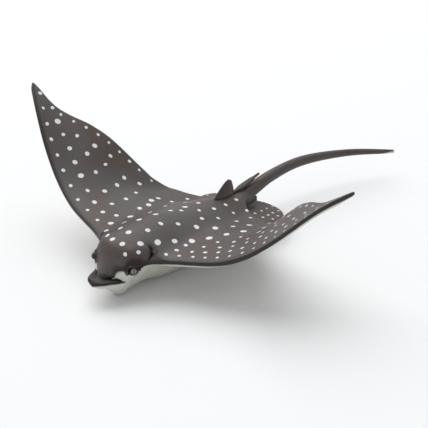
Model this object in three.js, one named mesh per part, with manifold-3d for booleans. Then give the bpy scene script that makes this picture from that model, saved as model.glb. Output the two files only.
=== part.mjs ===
import * as THREE from 'three';
import Module from 'manifold-3d';

// Moulded toy figure of a spotted eagle ray lying on its belly.
// Millimetres, back towards +Z, snout towards -Y, tail towards +Y.

// ---- driving sizes ----
const HALF_SPAN = 82.4; // midline to wing tip
const TIP_Y = 37.6; // the tip lies this far behind the chin's first touch
const SNOUT_Y = -14;
const TRUNK_END_Y = 76; // where the tail begins
const FIGURE_MID_Y = 71.76; // moves the figure to its middle
const WING_ROOT_Z = 15.6;
const ROOT_SLOPE = 0.13; // rise per millimetre near the trunk
const LIFT_START = 47.5;
const LIFT_SOFTNESS = 6;
const TIP_EASE = 0.5;
const TIP_EASE_START = 73;
const TIP_EASE_SOFTNESS = 3;
const PITCH = 0.31; // nose-down pitch of the middle of the wing
const REAR_SAG = 3.6;
const RIM_HALF = 0.75; // half the thickness of a wing's edge
const RIM_WIDTH = 0.9;
const WING_HALF_ROOT = 2.3; // half the thickness of a wing at the trunk
const WING_HALF_TIP = 0.8;
const SKULL_POWER = 2.4; // above 2 the skull's section is boxier than an ellipse
const CUT = 0.3; // width of the thin cuts between the named pieces
const REACH = 400; // longer than the figure, for cutting blocks

// Height of the back and of the keel along the midline: [y, z].
const CROWN = [[-11.2, 10.8], [-10.4, 11.4], [-8.6, 13], [-4.8, 17.3], [-1.3, 21.3], [3, 23],
  [9, 24.3], [16, 24.7], [24, 24.1], [34, 22.4], [45, 20.4], [55, 18.9], [62, 18], [69, 17.3],
  [TRUNK_END_Y, 16.8]];
const KEEL = [[SNOUT_Y, 8.8], [-12.5, 7.9], [-9, 6.3], [-5, 3.4], [-2, 1], [0, -0.2], [5, 0.9],
  [12, 1.1], [20, -0.9], [29, -1.7], [37, -2.5], [45, -1.5], [56, 2], [64, 5.2], [70, 8],
  [TRUNK_END_Y, 10.4]];
// How far the back's hump and the belly's bulge reach to each side: [y, x].
const HUMP_REACH = [[0, 16], [8, 18], [20, 19], [35, 18], [48, 16], [58, 13.5], [66, 10],
  [TRUNK_END_Y, 5]];
const BELLY_REACH = [[0, 9.5], [8, 11], [12, 12.5], [20, 16], [32, 17], [45, 16], [56, 13],
  [63, 10.5], [70, 6.5], [TRUNK_END_Y, 4.5]];
// Outline of the left half seen from above, snout to tail base: [x, y].
const HEAD_SIDE = [[0, SNOUT_Y], [3.9, -12.4], [5.8, -9.2], [7.2, -6.1], [8.7, -2.9], [10.9, 0.2],
  [12, 3]];
const LEADING_EDGE = [[14.4, 5.3], [20.4, 8.5], [28, 11], [38, 14], [46.2, 16.9], [55.8, 20.6],
  [63.3, 24.1], [70.2, 28], [77.2, 32.6]];
const TIP = [[81.4, 36], [HALF_SPAN, TIP_Y], [80.6, 38]];
const TRAILING_EDGE = [[75, 38], [70.6, 38.8], [66, 41], [58, 45.5], [48, 50.1], [38, 54.2],
  [33.6, 56], [30.2, 59], [25.7, 61.4], [20, 63.2], [16, 65]];
const TRUNK_SIDE = [[11.8, 67], [7.8, 69], [5, 72.2], [3.5, TRUNK_END_Y]];
// Height of the widest line of the head and of the tail base: [y, z].
const HEAD_EDGE_Z = [[SNOUT_Y, 8.9], [-12.4, 10], [-9.2, 9.9], [-6.1, 9.5], [-4.4, 9.5],
  [-2.8, 11.5], [0.2, 14.2], [3, 15.1], [8, 15.9]];
// Height of the snout lobe's top: [y, z].
const LOBE_TOP = [[SNOUT_Y, 9.7], [-12.4, 10.9], [-9.8, 11], [-7.5, 10.7], [-6.3, 10.4],
  [-5.2, 10], [-3, 9.2]];
// Half width of the forehead where it meets the lobe: [y, x].
const FOREHEAD = [[-11.1, 0], [-10.7, 1.2], [-9.9, 2.3], [-8.6, 3.4], [-7.5, 4.3], [-6.3, 5.3],
  [-5.2, 6.3], [-3.8, 7.7], [-2.6, 9.5], [-2, 10.5]];
// How sharply the underside narrows to the keel: [y, power]; 0.5 is an ellipse.
const CHIN_POWER = [[SNOUT_Y, 0.5], [-6, 0.7], [-2.5, 0.95], [1, 1.7], [8, 2.4], [20, 1],
  [60, 0.5]];
const TAIL_EDGE_Z = 13.6;
const FIN_ROOT_Z = 15.5;
const FIN_TIP_Z = 24.7;
const FOREHEAD_REAR_Y = -2; // behind this the forehead is as wide as the head
const BROW = { x: 9.6, y: -0.3, radius: 3.5, height: 1.2 };
const EYE = { x: 10.1, y: -1.5, z: 13.85, depth: 1.4, halfLength: 1.95, halfHeight: 1.5 };
const SPIRACLE = { x: 12.2, y: 6.2, z: 19.4, halfWidth: 1, halfHeight: 2.3, halfDepth: 1.4 };
const TAIL_PATH = [[0, TRUNK_END_Y - 4, 13.4], [0, 83, 14.7], [0.4, 94, 16.5], [2.5, 111.8, 17.6],
  [10, 135.9, 15.5], [20.9, 157.05, 12]];
const TAIL_RADIUS = [[0, 3.5], [0.09, 3.1], [0.18, 2.65], [0.3, 2.35], [0.5, 2.05], [0.7, 1.6],
  [0.85, 1.25], [1, 0.75]];

const smoothstep = (from, to, value) => {
  const part = Math.min(1, Math.max(0, (value - from) / (to - from)));
  return part * part * (3 - 2 * part);
};
const mix = (a, b, part) => a + (b - a) * part;
const softRamp = (value, softness) => softness * Math.log1p(Math.exp(value / softness));

/** A smooth curve through knots (k, v): cubic pieces with averaged slopes. */
function smoothCurve(knots, values, keepLevel) {
  const count = knots.length;
  const gap = (i) => knots[i + 1] - knots[i];
  const rise = (i) => (values[i + 1] - values[i]) / gap(i);
  const slopes = values.map((value, i) => {
    if (i === 0) return rise(0);
    if (i === count - 1) return rise(count - 2);
    const before = rise(i - 1);
    const after = rise(i);
    if (keepLevel && before * after <= 0) return 0;
    return (gap(i) * before + gap(i - 1) * after) / (gap(i) + gap(i - 1));
  });
  return (at) => {
    let i = 0;
    while (i < count - 2 && at > knots[i + 1]) i += 1;
    const width = gap(i);
    const p = Math.min(1, Math.max(0, (at - knots[i]) / width));
    const start = (1 + 2 * p) * (1 - p) ** 2 * values[i] + p * (1 - p) ** 2 * width * slopes[i];
    return start + p * p * (3 - 2 * p) * values[i + 1] - p * p * (1 - p) * width * slopes[i + 1];
  };
}
const table = (rows) => smoothCurve(rows.map((row) => row[0]), rows.map((row) => row[1]), true);

const crownZ = table(CROWN);
const keelZ = table(KEEL);
const humpReach = table(HUMP_REACH);
const bellyReach = table(BELLY_REACH);
const headEdgeZ = table(HEAD_EDGE_Z);
const lobeTop = table(LOBE_TOP);
const chinPower = table(CHIN_POWER);
const foreheadHalf = table(FOREHEAD);

/** Middle surface of the wings: level inside, then sweeping up and pitched nose-down. */
function wingMiddle(x, y) {
  const up = ROOT_SLOPE * Math.max(0, x - 14) + softRamp(x - LIFT_START, LIFT_SOFTNESS);
  const ease = TIP_EASE * softRamp(x - TIP_EASE_START, TIP_EASE_SOFTNESS);
  const frontY = 7.5 + 0.0043 * x * x;
  const pitch = PITCH * smoothstep(29, 54, x) * (1 - smoothstep(56, 80, x)) * (y - frontY);
  const sag = REAR_SAG * smoothstep(38, 61, y) * (1 - smoothstep(26, 36, x));
  return WING_ROOT_Z + up - ease + pitch - sag;
}

/** Half the wing's thickness, thinner towards the tip and the rim. */
function wingHalf(x, inside) {
  const full = mix(WING_HALF_ROOT, WING_HALF_TIP, smoothstep(8, 78, x));
  return mix(RIM_HALF, full, 1 - Math.exp(-inside / 7));
}

/** Top and bottom of the trunk and wings at a rib point `inside` mm from the edge. */
function wingHeights(x, y, inside) {
  const round = inside >= RIM_WIDTH ? 1 : Math.sqrt(1 - (1 - inside / RIM_WIDTH) ** 2);
  const half = wingHalf(x, inside) * round;
  const rootHalf = wingHalf(0, 20);
  const hump = Math.max(0, 1 - (x / humpReach(y)) ** 2) ** 2;
  const bulge = Math.max(0, 1 - (x / bellyReach(y)) ** 2) ** 1.5;
  const root = wingMiddle(0, y);
  const middle = wingMiddle(x, y);
  return {
    top: middle + half + (crownZ(y) - root - rootHalf) * hump,
    bottom: middle - half - (root - rootHalf - keelZ(y)) * bulge,
  };
}

/** Top and bottom of the head, or of the tail base, at part `t` of its half width `edgeX`. */
function headHeights(x, y, t, edgeX, edgeZ, inside) {
  const under = edgeZ - (edgeZ - keelZ(y)) * Math.max(0, 1 - t * t) ** chinPower(y);
  const brow = BROW.height * Math.exp(-((x - BROW.x) ** 2 + (y - BROW.y) ** 2) / BROW.radius ** 2);
  const crown = crownZ(y) - edgeZ + brow;
  if (y > FOREHEAD_REAR_Y) {
    const over = Math.sqrt(Math.max(0, 1 - t ** SKULL_POWER));
    return { top: edgeZ + crown * over, bottom: under };
  }
  const width = Math.min(edgeX, foreheadHalf(y));
  const lobeRound = Math.sqrt(1 - Math.max(0, 1 - inside / 2) ** 2);
  const lobe = edgeZ + Math.max(lobeTop(y) - edgeZ, 0) * lobeRound;
  if (width <= 0 || x >= width) return { top: lobe, bottom: under };
  const blunt = smoothstep(-9, -2.5, y);
  const power = mix(2, SKULL_POWER, blunt);
  const dome = (1 - (x / width) ** power) ** mix(0.95, 0.5, blunt);
  return { top: Math.max(lobe, edgeZ + crown * dome), bottom: under };
}

// ---- the outline and the ribs that run to it from the midline ----
const outline = [...HEAD_SIDE, ...LEADING_EDGE, ...TIP, ...TRAILING_EDGE, ...TRUNK_SIDE];
const along = [0];
for (let i = 1; i < outline.length; i += 1) {
  const step = Math.hypot(outline[i][0] - outline[i - 1][0], outline[i][1] - outline[i - 1][1]);
  along.push(along[i - 1] + step);
}
const outlineX = smoothCurve(along, outline.map((point) => point[0]), false);
const outlineY = smoothCurve(along, outline.map((point) => point[1]), false);
const wingFrom = along[HEAD_SIDE.length - 1];
const wingTo = along[along.length - TRUNK_SIDE.length];
const outlineEnd = along[along.length - 1];

/** Where the rib that ends at outline length s starts on the midline. */
function midlineY(s) {
  const rootFront = outlineY(wingFrom);
  const rootRear = outlineY(wingTo) - 2;
  if (s <= wingFrom) return Math.max(SNOUT_Y + 0.05 * s, outlineY(s));
  if (s <= wingTo) return mix(rootFront, rootRear, (s - wingFrom) / (wingTo - wingFrom));
  return mix(rootRear, TRUNK_END_Y, (s - wingTo) / (outlineEnd - wingTo));
}

/** Parts of the half width at which a rib has its points, packed towards its edge. */
function ribParts(length, winged, count) {
  const bodyEnd = Math.min(20, length * 0.5);
  const parts = [];
  for (let j = 0; j <= count; j += 1) {
    const even = Math.sin((j / count) * Math.PI / 2);
    const share = j / count;
    let reach = length - RIM_WIDTH * Math.cos(((share - 0.8) / 0.2) * Math.PI / 2) ** 2;
    if (share < 0.8) reach = mix(bodyEnd, length - RIM_WIDTH, (share - 0.4) / 0.4);
    if (share < 0.4) reach = bodyEnd * (share / 0.4);
    parts.push(mix(even, reach / length, winged));
  }
  return parts;
}

/** One closed ring of points round the body, over the back and under the belly. */
function bodyRing(s, count) {
  const edgeX = outlineX(s);
  const edgeY = outlineY(s);
  const startY = midlineY(s);
  const front = s < (wingFrom + wingTo) / 2;
  const winged = front ? smoothstep(11, 22, edgeX) : smoothstep(5, 14, edgeX);
  const length = Math.hypot(edgeX, edgeY - startY);
  const headZ = front ? headEdgeZ(edgeY) : TAIL_EDGE_Z;
  const edgeZ = mix(headZ, wingMiddle(edgeX, edgeY), winged);
  const half = ribParts(length, winged, count).map((t) => {
    const x = edgeX * t;
    const y = mix(startY, edgeY, t);
    const inside = length * (1 - t);
    const head = headHeights(x, y, t, edgeX, edgeZ, inside);
    const wing = wingHeights(x, y, inside);
    return { x, y, top: mix(head.top, wing.top, winged), bottom: mix(head.bottom, wing.bottom, winged) };
  });
  half[count].top = edgeZ;
  half[count].bottom = edgeZ;
  const ring = [];
  for (let j = 0; j < count; j += 1) ring.push([half[j].x, half[j].y, half[j].top]);
  for (let j = count; j > 0; j -= 1) ring.push([half[j].x, half[j].y, half[j].bottom]);
  for (let j = 0; j < count; j += 1) ring.push([-half[j].x, half[j].y, half[j].bottom]);
  for (let j = count; j > 0; j -= 1) ring.push([-half[j].x, half[j].y, half[j].top]);
  return ring.map(([x, y, z]) => [x, y, Math.max(0, z)]);
}

/** A closed skin over rings of equal length, with a fan of faces at each end. */
function loftGeometry(rings) {
  const size = rings[0].length;
  const points = rings.flat();
  const faces = [];
  for (let i = 0; i + 1 < rings.length; i += 1) {
    for (let j = 0; j < size; j += 1) {
      const next = (j + 1) % size;
      const a = i * size + j;
      const b = i * size + next;
      faces.push(a, b, a + size, b, b + size, a + size);
    }
  }
  const addFan = (base, flip) => {
    const ring = points.slice(base, base + size);
    const centre = ring.reduce((sum, p) => sum.map((v, k) => v + p[k] / size), [0, 0, 0]);
    points.push(centre);
    for (let j = 0; j < size; j += 1) {
      const next = base + ((j + 1) % size);
      faces.push(...(flip ? [next, base + j, points.length - 1] : [base + j, next, points.length - 1]));
    }
  };
  addFan(0, true);
  addFan((rings.length - 1) * size, false);
  const geometry = new THREE.BufferGeometry();
  geometry.setAttribute('position', new THREE.Float32BufferAttribute(points.flat(), 3));
  geometry.setIndex(faces);
  return geometry;
}

const wasm = await Module();
wasm.setup();

/** Turns a three.js geometry into a solid for joining and cutting. */
function solid(geometry) {
  const position = geometry.getAttribute('position');
  const index = geometry.getIndex();
  const mesh = new wasm.Mesh({
    numProp: 3,
    vertProperties: Float32Array.from(position.array),
    triVerts: Uint32Array.from(index.array),
  });
  mesh.merge();
  const made = new wasm.Manifold(mesh);
  if (made.volume() >= 0) return made;
  return new wasm.Manifold(new wasm.Mesh({
    numProp: 3,
    vertProperties: mesh.vertProperties,
    triVerts: mesh.triVerts.slice().reverse(),
    mergeFromVert: mesh.mergeFromVert,
    mergeToVert: mesh.mergeToVert,
  }));
}

/** A block that fills the space between two corners. */
function block([x0, y0, z0], [x1, y1, z1]) {
  const box = new THREE.BoxGeometry(x1 - x0, y1 - y0, z1 - z0);
  box.translate((x0 + x1) / 2, (y0 + y1) / 2, (z0 + z1) / 2);
  return solid(box);
}

/** An egg-shaped solid, turned about Z and then tipped about X. */
function egg(place, halfSizes, turns, tips, segments) {
  const sphere = new THREE.SphereGeometry(1, segments, segments / 2);
  sphere.scale(...halfSizes);
  sphere.rotateX(tips);
  sphere.rotateZ(turns);
  sphere.translate(...place);
  return solid(sphere);
}

const mirrored = (made) => made.mirror([1, 0, 0]);

// ---- the body's skin, whole ----
const AROUND = 10; // points on each quarter of a ring
const HEAD_RINGS = 14;
const WING_RINGS = 30;
const TRUNK_RINGS = 5;
const rings = [];
for (let i = 0; i < HEAD_RINGS; i += 1) {
  rings.push(bodyRing(mix(0.4, wingFrom, i / HEAD_RINGS), AROUND));
}
for (let i = 0; i < WING_RINGS; i += 1) {
  rings.push(bodyRing(mix(wingFrom, wingTo, i / WING_RINGS), AROUND));
}
for (let i = 0; i <= TRUNK_RINGS; i += 1) {
  rings.push(bodyRing(mix(wingTo, outlineEnd, i / TRUNK_RINGS), AROUND));
}
const body = solid(loftGeometry(rings));

/** The tail: round rings along its path, thinning to a blunt tip; `grow` widens it. */
function tailSolid(grow) {
  const path = new THREE.CatmullRomCurve3(TAIL_PATH.map((point) => new THREE.Vector3(...point)));
  const radius = table(TAIL_RADIUS);
  const steps = 26;
  const around = 10;
  const tailRings = [];
  for (let i = 0; i <= steps; i += 1) {
    const centre = path.getPointAt(i / steps);
    const along = path.getTangentAt(i / steps);
    const side = new THREE.Vector3(along.y, -along.x, 0).normalize();
    const up = new THREE.Vector3().crossVectors(side, along);
    const reach = radius(i / steps) + grow;
    const ring = [];
    for (let j = 0; j < around; j += 1) {
      const angle = Math.PI / 2 - (j / around) * Math.PI * 2;
      const point = centre.clone();
      point.addScaledVector(side, Math.cos(angle) * reach);
      point.addScaledVector(up, Math.sin(angle) * reach);
      ring.push(point.toArray());
    }
    tailRings.push(ring);
  }
  return solid(loftGeometry(tailRings));
}

/** The dorsal fin: leaf-shaped rings stacked from its root up to its raked tip. */
function dorsalFinSolid() {
  const front = table([[FIN_ROOT_Z, 55], [19.9, 58.6], [22.6, 62], [24.2, 64.8], [FIN_TIP_Z, 66.1]]);
  const rear = table([[FIN_ROOT_Z, 71], [18.6, 69.6], [22.2, 68.6], [23.9, 67.9], [FIN_TIP_Z, 66.9]]);
  const thick = table([[FIN_ROOT_Z, 1.6], [19, 1.1], [FIN_TIP_Z, 0.35]]);
  const levels = 8;
  const around = 16;
  const finRings = [];
  for (let i = 0; i <= levels; i += 1) {
    const z = mix(FIN_ROOT_Z, FIN_TIP_Z, i / levels);
    const ring = [];
    for (let j = 0; j < around; j += 1) {
      const angle = (j / around) * Math.PI * 2;
      const y = mix(front(z), rear(z), (1 - Math.cos(angle)) / 2);
      ring.push([thick(z) * Math.sin(angle), y, z]);
    }
    finRings.push(ring);
  }
  return solid(loftGeometry(finRings));
}

/** The barb over the tail's root, flat and pointed; `grow` widens it for its bed. */
function spineSolid(grow) {
  const around = 10;
  const steps = 6;
  const spineRings = [];
  for (let i = 0; i <= steps; i += 1) {
    const part = i / steps;
    const half = 1.35 * (1 - 0.75 * part ** 1.6) + grow;
    const thick = 0.75 * (1 - 0.5 * part) + grow;
    const y = mix(69.6 - grow, 86.8 + grow, part);
    const z = mix(17.2, 20.2, part);
    const ring = [];
    for (let j = 0; j < around; j += 1) {
      const angle = Math.PI / 2 - (j / around) * Math.PI * 2;
      ring.push([half * Math.cos(angle), y, z + thick * Math.sin(angle)]);
    }
    spineRings.push(ring);
  }
  return solid(loftGeometry(spineRings));
}

/** A pelvic fin: a thin round fan that slopes down towards its rear edge. */
function pelvicFinSolid() {
  const fan = { x: 6.3, y: 75, radius: 13, rootZ: 9.9, slope: 0.185, half: 0.65 };
  const layers = [[0.45, 1], [0.9, 0.9], [0.98, 0.6], [1, 0], [0.98, -0.6], [0.9, -0.9], [0.45, -1]];
  const around = 20;
  const finRings = layers.map(([reach, level]) => {
    const ring = [];
    for (let j = 0; j < around; j += 1) {
      const angle = (-j / around) * Math.PI * 2;
      const x = fan.x + fan.radius * reach * Math.cos(angle);
      const y = fan.y + fan.radius * reach * Math.sin(angle);
      ring.push([x, y, fan.rootZ - fan.slope * (y - 68) - 0.05 * x + fan.half * level]);
    }
    return ring;
  });
  return solid(loftGeometry(finRings));
}

// ---- parting the figure ----
const HEAD_END_Y = 9.2;
const TRUNK_SPLIT_Y = 36;
const WING_ROOT_X = 18.5;
const WING_SPLITS = [WING_ROOT_X, 39, 60, REACH];
const LOBE_ROOT = { y: -4.4, z: 9.15, slope: 19 }; // the slit under the forehead rises forwards
const TAIL_SPLITS = [TRUNK_END_Y, 98, 127, REACH];

const between = (x0, x1, y0, y1, z0 = -REACH, z1 = REACH) => block([x0, y0, z0], [x1, y1, z1]);
const pieces = new Map();

const eyeTurn = -0.35;
const leftEye = egg([EYE.x, EYE.y, EYE.z], [EYE.depth, EYE.halfLength, EYE.halfHeight], eyeTurn, 0, 12);
const socketSizes = [EYE.depth + CUT / 2, EYE.halfLength + CUT / 2, EYE.halfHeight + CUT / 2];
const leftSocket = egg([EYE.x, EYE.y, EYE.z], socketSizes, eyeTurn, 0, 12);
const spiracleSizes = [SPIRACLE.halfWidth, SPIRACLE.halfDepth, SPIRACLE.halfHeight];
const leftSpiracle = egg([SPIRACLE.x, SPIRACLE.y, SPIRACLE.z], spiracleSizes, 0.2, 0.5, 12);

const carved = body.subtract(leftSocket).subtract(mirrored(leftSocket))
  .subtract(leftSpiracle).subtract(mirrored(leftSpiracle)).subtract(spineSolid(CUT));
const lobeBlock = between(-REACH, REACH, -REACH, REACH, -REACH, 0)
  .rotate([-LOBE_ROOT.slope, 0, 0]).translate([0, LOBE_ROOT.y, LOBE_ROOT.z])
  .intersect(between(-REACH, REACH, -REACH, LOBE_ROOT.y));
const lobeClearance = lobeBlock.translate([0, CUT, CUT]);
const front = carved.intersect(between(-REACH, REACH, -REACH, HEAD_END_Y));
pieces.set('rostral_lobe', carved.intersect(lobeBlock));
pieces.set('head', front.subtract(lobeClearance));
pieces.set('eye_left', leftEye);
pieces.set('eye_right', mirrored(leftEye));
const trunkX = WING_ROOT_X - CUT / 2;
pieces.set('trunk_front', carved.intersect(between(-trunkX, trunkX, HEAD_END_Y + CUT, TRUNK_SPLIT_Y)));
pieces.set('trunk_rear', carved.intersect(between(-trunkX, trunkX, TRUNK_SPLIT_Y + CUT, REACH)));
const wingLengths = ['inner', 'middle', 'outer'];
wingLengths.forEach((name, i) => {
  const from = WING_SPLITS[i] + CUT / 2;
  const to = WING_SPLITS[i + 1] - CUT / 2;
  const wing = carved.intersect(between(from, to, HEAD_END_Y + CUT, REACH));
  pieces.set(`wing_left_${name}`, wing);
  pieces.set(`wing_right_${name}`, mirrored(wing));
});
const raised = body.translate([0, 0, CUT]);
pieces.set('dorsal_fin', dorsalFinSolid().subtract(raised).subtract(spineSolid(CUT)));
pieces.set('tail_spine', spineSolid(0));
const tail = tailSolid(0).subtract(spineSolid(CUT));
['base', 'middle', 'tip'].forEach((name, i) => {
  const length = between(-REACH, REACH, TAIL_SPLITS[i] + CUT, TAIL_SPLITS[i + 1]);
  pieces.set(`tail_${name}`, tail.intersect(length));
});
const finBed = body.add(body.translate([CUT, CUT / 2, 0])).add(body.translate([0, 0, -CUT]));
const finBlank = pelvicFinSolid().subtract(finBed).subtract(between(-REACH, CUT, -REACH, REACH));
const tailBed = tailSolid(CUT);
pieces.set('pelvic_fin_left', finBlank.subtract(tailBed));
pieces.set('pelvic_fin_right', mirrored(finBlank).subtract(tailBed));

const LOOKS = {
  skin: new THREE.MeshStandardMaterial({ color: 0x5a5350, roughness: 0.5 }),
  eye: new THREE.MeshStandardMaterial({ color: 0x15130f, roughness: 0.2 }),
};
const group = new THREE.Group();
group.name = 'spotted_eagle_ray';
for (const [name, made] of pieces) {
  const { vertProperties, triVerts } = made.getMesh();
  const geometry = new THREE.BufferGeometry();
  geometry.setAttribute('position', new THREE.BufferAttribute(vertProperties, 3));
  geometry.setIndex(new THREE.BufferAttribute(triVerts, 1));
  geometry.translate(0, -FIGURE_MID_Y, 0);
  const mesh = new THREE.Mesh(geometry, name.startsWith('eye') ? LOOKS.eye : LOOKS.skin);
  mesh.name = name;
  group.add(mesh);
}

export default group;
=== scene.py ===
"""Looks of a moulded toy figure of a spotted eagle ray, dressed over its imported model.

Shapes are worked out in millimetres from the chin's first touch of the floor, back
towards +Z, snout towards -Y and tail towards +Y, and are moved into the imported
model's frame, in metres, as each piece is made.
"""

import logging
import math
from collections.abc import Callable, Iterator, Sequence
from contextlib import contextmanager
from dataclasses import dataclass, field
from enum import Enum

import bmesh
import bpy
import numpy as np
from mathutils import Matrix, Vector
from mathutils.bvhtree import BVHTree
from mathutils.kdtree import KDTree


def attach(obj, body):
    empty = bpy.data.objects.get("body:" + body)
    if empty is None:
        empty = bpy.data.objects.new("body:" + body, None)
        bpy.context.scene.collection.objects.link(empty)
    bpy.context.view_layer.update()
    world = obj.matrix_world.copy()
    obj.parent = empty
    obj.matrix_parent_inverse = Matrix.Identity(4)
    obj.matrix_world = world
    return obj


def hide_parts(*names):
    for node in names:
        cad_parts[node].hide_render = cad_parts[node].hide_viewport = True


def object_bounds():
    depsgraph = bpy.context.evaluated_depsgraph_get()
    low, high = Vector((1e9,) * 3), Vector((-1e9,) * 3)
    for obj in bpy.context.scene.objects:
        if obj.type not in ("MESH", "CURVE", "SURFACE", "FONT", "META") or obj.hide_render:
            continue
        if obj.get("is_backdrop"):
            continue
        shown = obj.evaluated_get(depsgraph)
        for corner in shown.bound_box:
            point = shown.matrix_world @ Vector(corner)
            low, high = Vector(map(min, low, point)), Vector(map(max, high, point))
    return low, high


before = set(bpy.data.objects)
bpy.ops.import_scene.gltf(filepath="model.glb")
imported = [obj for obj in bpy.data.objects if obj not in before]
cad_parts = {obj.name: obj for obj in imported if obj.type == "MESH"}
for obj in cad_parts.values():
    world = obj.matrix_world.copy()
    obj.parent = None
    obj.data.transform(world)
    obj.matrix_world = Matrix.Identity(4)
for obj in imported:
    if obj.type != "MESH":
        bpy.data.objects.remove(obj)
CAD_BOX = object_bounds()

log = logging.getLogger("eagle_ray")

MM = 0.001
FIGURE_MID_Y = 71.76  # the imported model's origin lies this far behind the chin's touch
FAR_OFF = 9.0  # stands for a distance beyond the reach of any spot or slit

Array = np.ndarray
Pair = tuple[float, float]
Triple = tuple[float, float, float]
Colour = tuple[float, float, float, float]
Rows = Sequence[Sequence[float]]
Piece = bpy.types.Object


class Side(Enum):
    """The two sides of the figure, as the sign of X."""

    LEFT = 1
    RIGHT = -1


def smoothstep(start: float, end: float, value: Array) -> Array:
    """Eases from 0 at start to 1 at end."""
    part = np.clip((np.asarray(value, float) - start) / (end - start), 0, 1)
    return part * part * (3 - 2 * part)


def fade(start: float, end: float, value: Array) -> Array:
    """Eases from 1 at start to 0 at end."""
    return 1 - smoothstep(start, end, value)


def mound(ratio: Array, power: Array, bend: Array) -> Array:
    """1 in the middle, falling to 0 at a ratio of 1."""
    return np.clip(1 - ratio**power, 0, 1) ** bend


def round_edge(inside: Array, width: float) -> Array:
    """Rises as a quarter circle from 0 at an edge to 1 at a width inside it."""
    return np.sqrt(1 - np.clip(1 - inside / width, 0, 1) ** 2)


def between(first: Array, second: Array, part: Array) -> Array:
    """The value that lies at a part of the way from the first to the second."""
    return first + (second - first) * part


def soft_ramp(value: Array, softness: float) -> Array:
    """Zero well below 0, the value well above it, with a soft bend between."""
    return softness * np.logaddexp(0, np.asarray(value, float) / softness)


def bump(distance: Array, width: float) -> Array:
    """A bell of height 1 that falls away over about its width."""
    return np.exp(-((np.asarray(distance, float) / width) ** 2))


def to_frame(points: Array) -> Array:
    """Millimetres from the chin's touch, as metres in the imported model's frame."""
    return (np.asarray(points, float) - (0, FIGURE_MID_Y, 0)) * MM


def from_frame(points: Array) -> Array:
    """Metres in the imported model's frame, as millimetres from the chin's touch."""
    return np.asarray(points, float) / MM + (0, FIGURE_MID_Y, 0)


class Curve:
    """A smooth curve through knots, made of cubic pieces with averaged slopes."""

    def __init__(self, rows: Rows, level: bool = True) -> None:
        """Works out the slopes.

        Args:
            rows: the knots, each a place and a value.
            level: whether the curve runs level through its highs and lows.
        """
        self.knots, self.values = np.array(rows, float).T
        gaps = np.diff(self.knots)
        rises = np.diff(self.values) / gaps
        inner = (gaps[1:] * rises[:-1] + gaps[:-1] * rises[1:]) / (gaps[1:] + gaps[:-1])
        if level:
            inner[rises[:-1] * rises[1:] <= 0] = 0
        self.slopes = np.concatenate(([rises[0]], inner, [rises[-1]]))

    def __call__(self, at: Array) -> Array:
        """The curve's value at each place; it stays level past both ends."""
        at = np.asarray(at, float)
        i = np.clip(np.searchsorted(self.knots, at) - 1, 0, len(self.knots) - 2)
        width = self.knots[i + 1] - self.knots[i]
        p = np.clip((at - self.knots[i]) / width, 0, 1)
        start = (1 + 2 * p) * (1 - p) ** 2 * self.values[i]
        start = start + p * (1 - p) ** 2 * width * self.slopes[i]
        end = p * p * (3 - 2 * p) * self.values[i + 1]
        return start + end - p * p * (1 - p) * width * self.slopes[i + 1]


def curve(*rows: Sequence[float]) -> Curve:
    """A dataclass field that holds the curve through these rows."""
    return field(default_factory=lambda: Curve(rows))


def running(steps: Array) -> Array:
    """Lengths from the start of a line to each of its points, from its steps' lengths."""
    return np.concatenate(([0], np.cumsum(steps)))


def through(places: Array, points: Array) -> Callable[[Array], Array]:
    """A smooth way through points that lie at these places along it."""
    ways = [Curve(np.column_stack((places, column)), level=False) for column in points.T]
    return lambda at: np.column_stack([way(at) for way in ways])


def turns(count: int) -> Array:
    """Angles at even steps round a full turn."""
    return np.arange(count) / count * 2 * np.pi


def blunt_end(left: float, least: float) -> float:
    """How wide a rounded end still is, with this share of its length left."""
    return math.sqrt(min(1, left + least))


def fold(points: Array) -> Array:
    """The points with those of the right half mirrored to the left."""
    return np.column_stack((np.abs(points[:, 0]), points[:, 1:]))


def finder(places: Sequence[Vector]) -> Callable[[Vector], float]:
    """Tells how far a place lies from the nearest of these places."""
    tree = KDTree(len(places))
    for i, place in enumerate(places):
        tree.insert(place, i)
    tree.balance()
    return lambda place: tree.find(place)[2]


# ---- form


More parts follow.
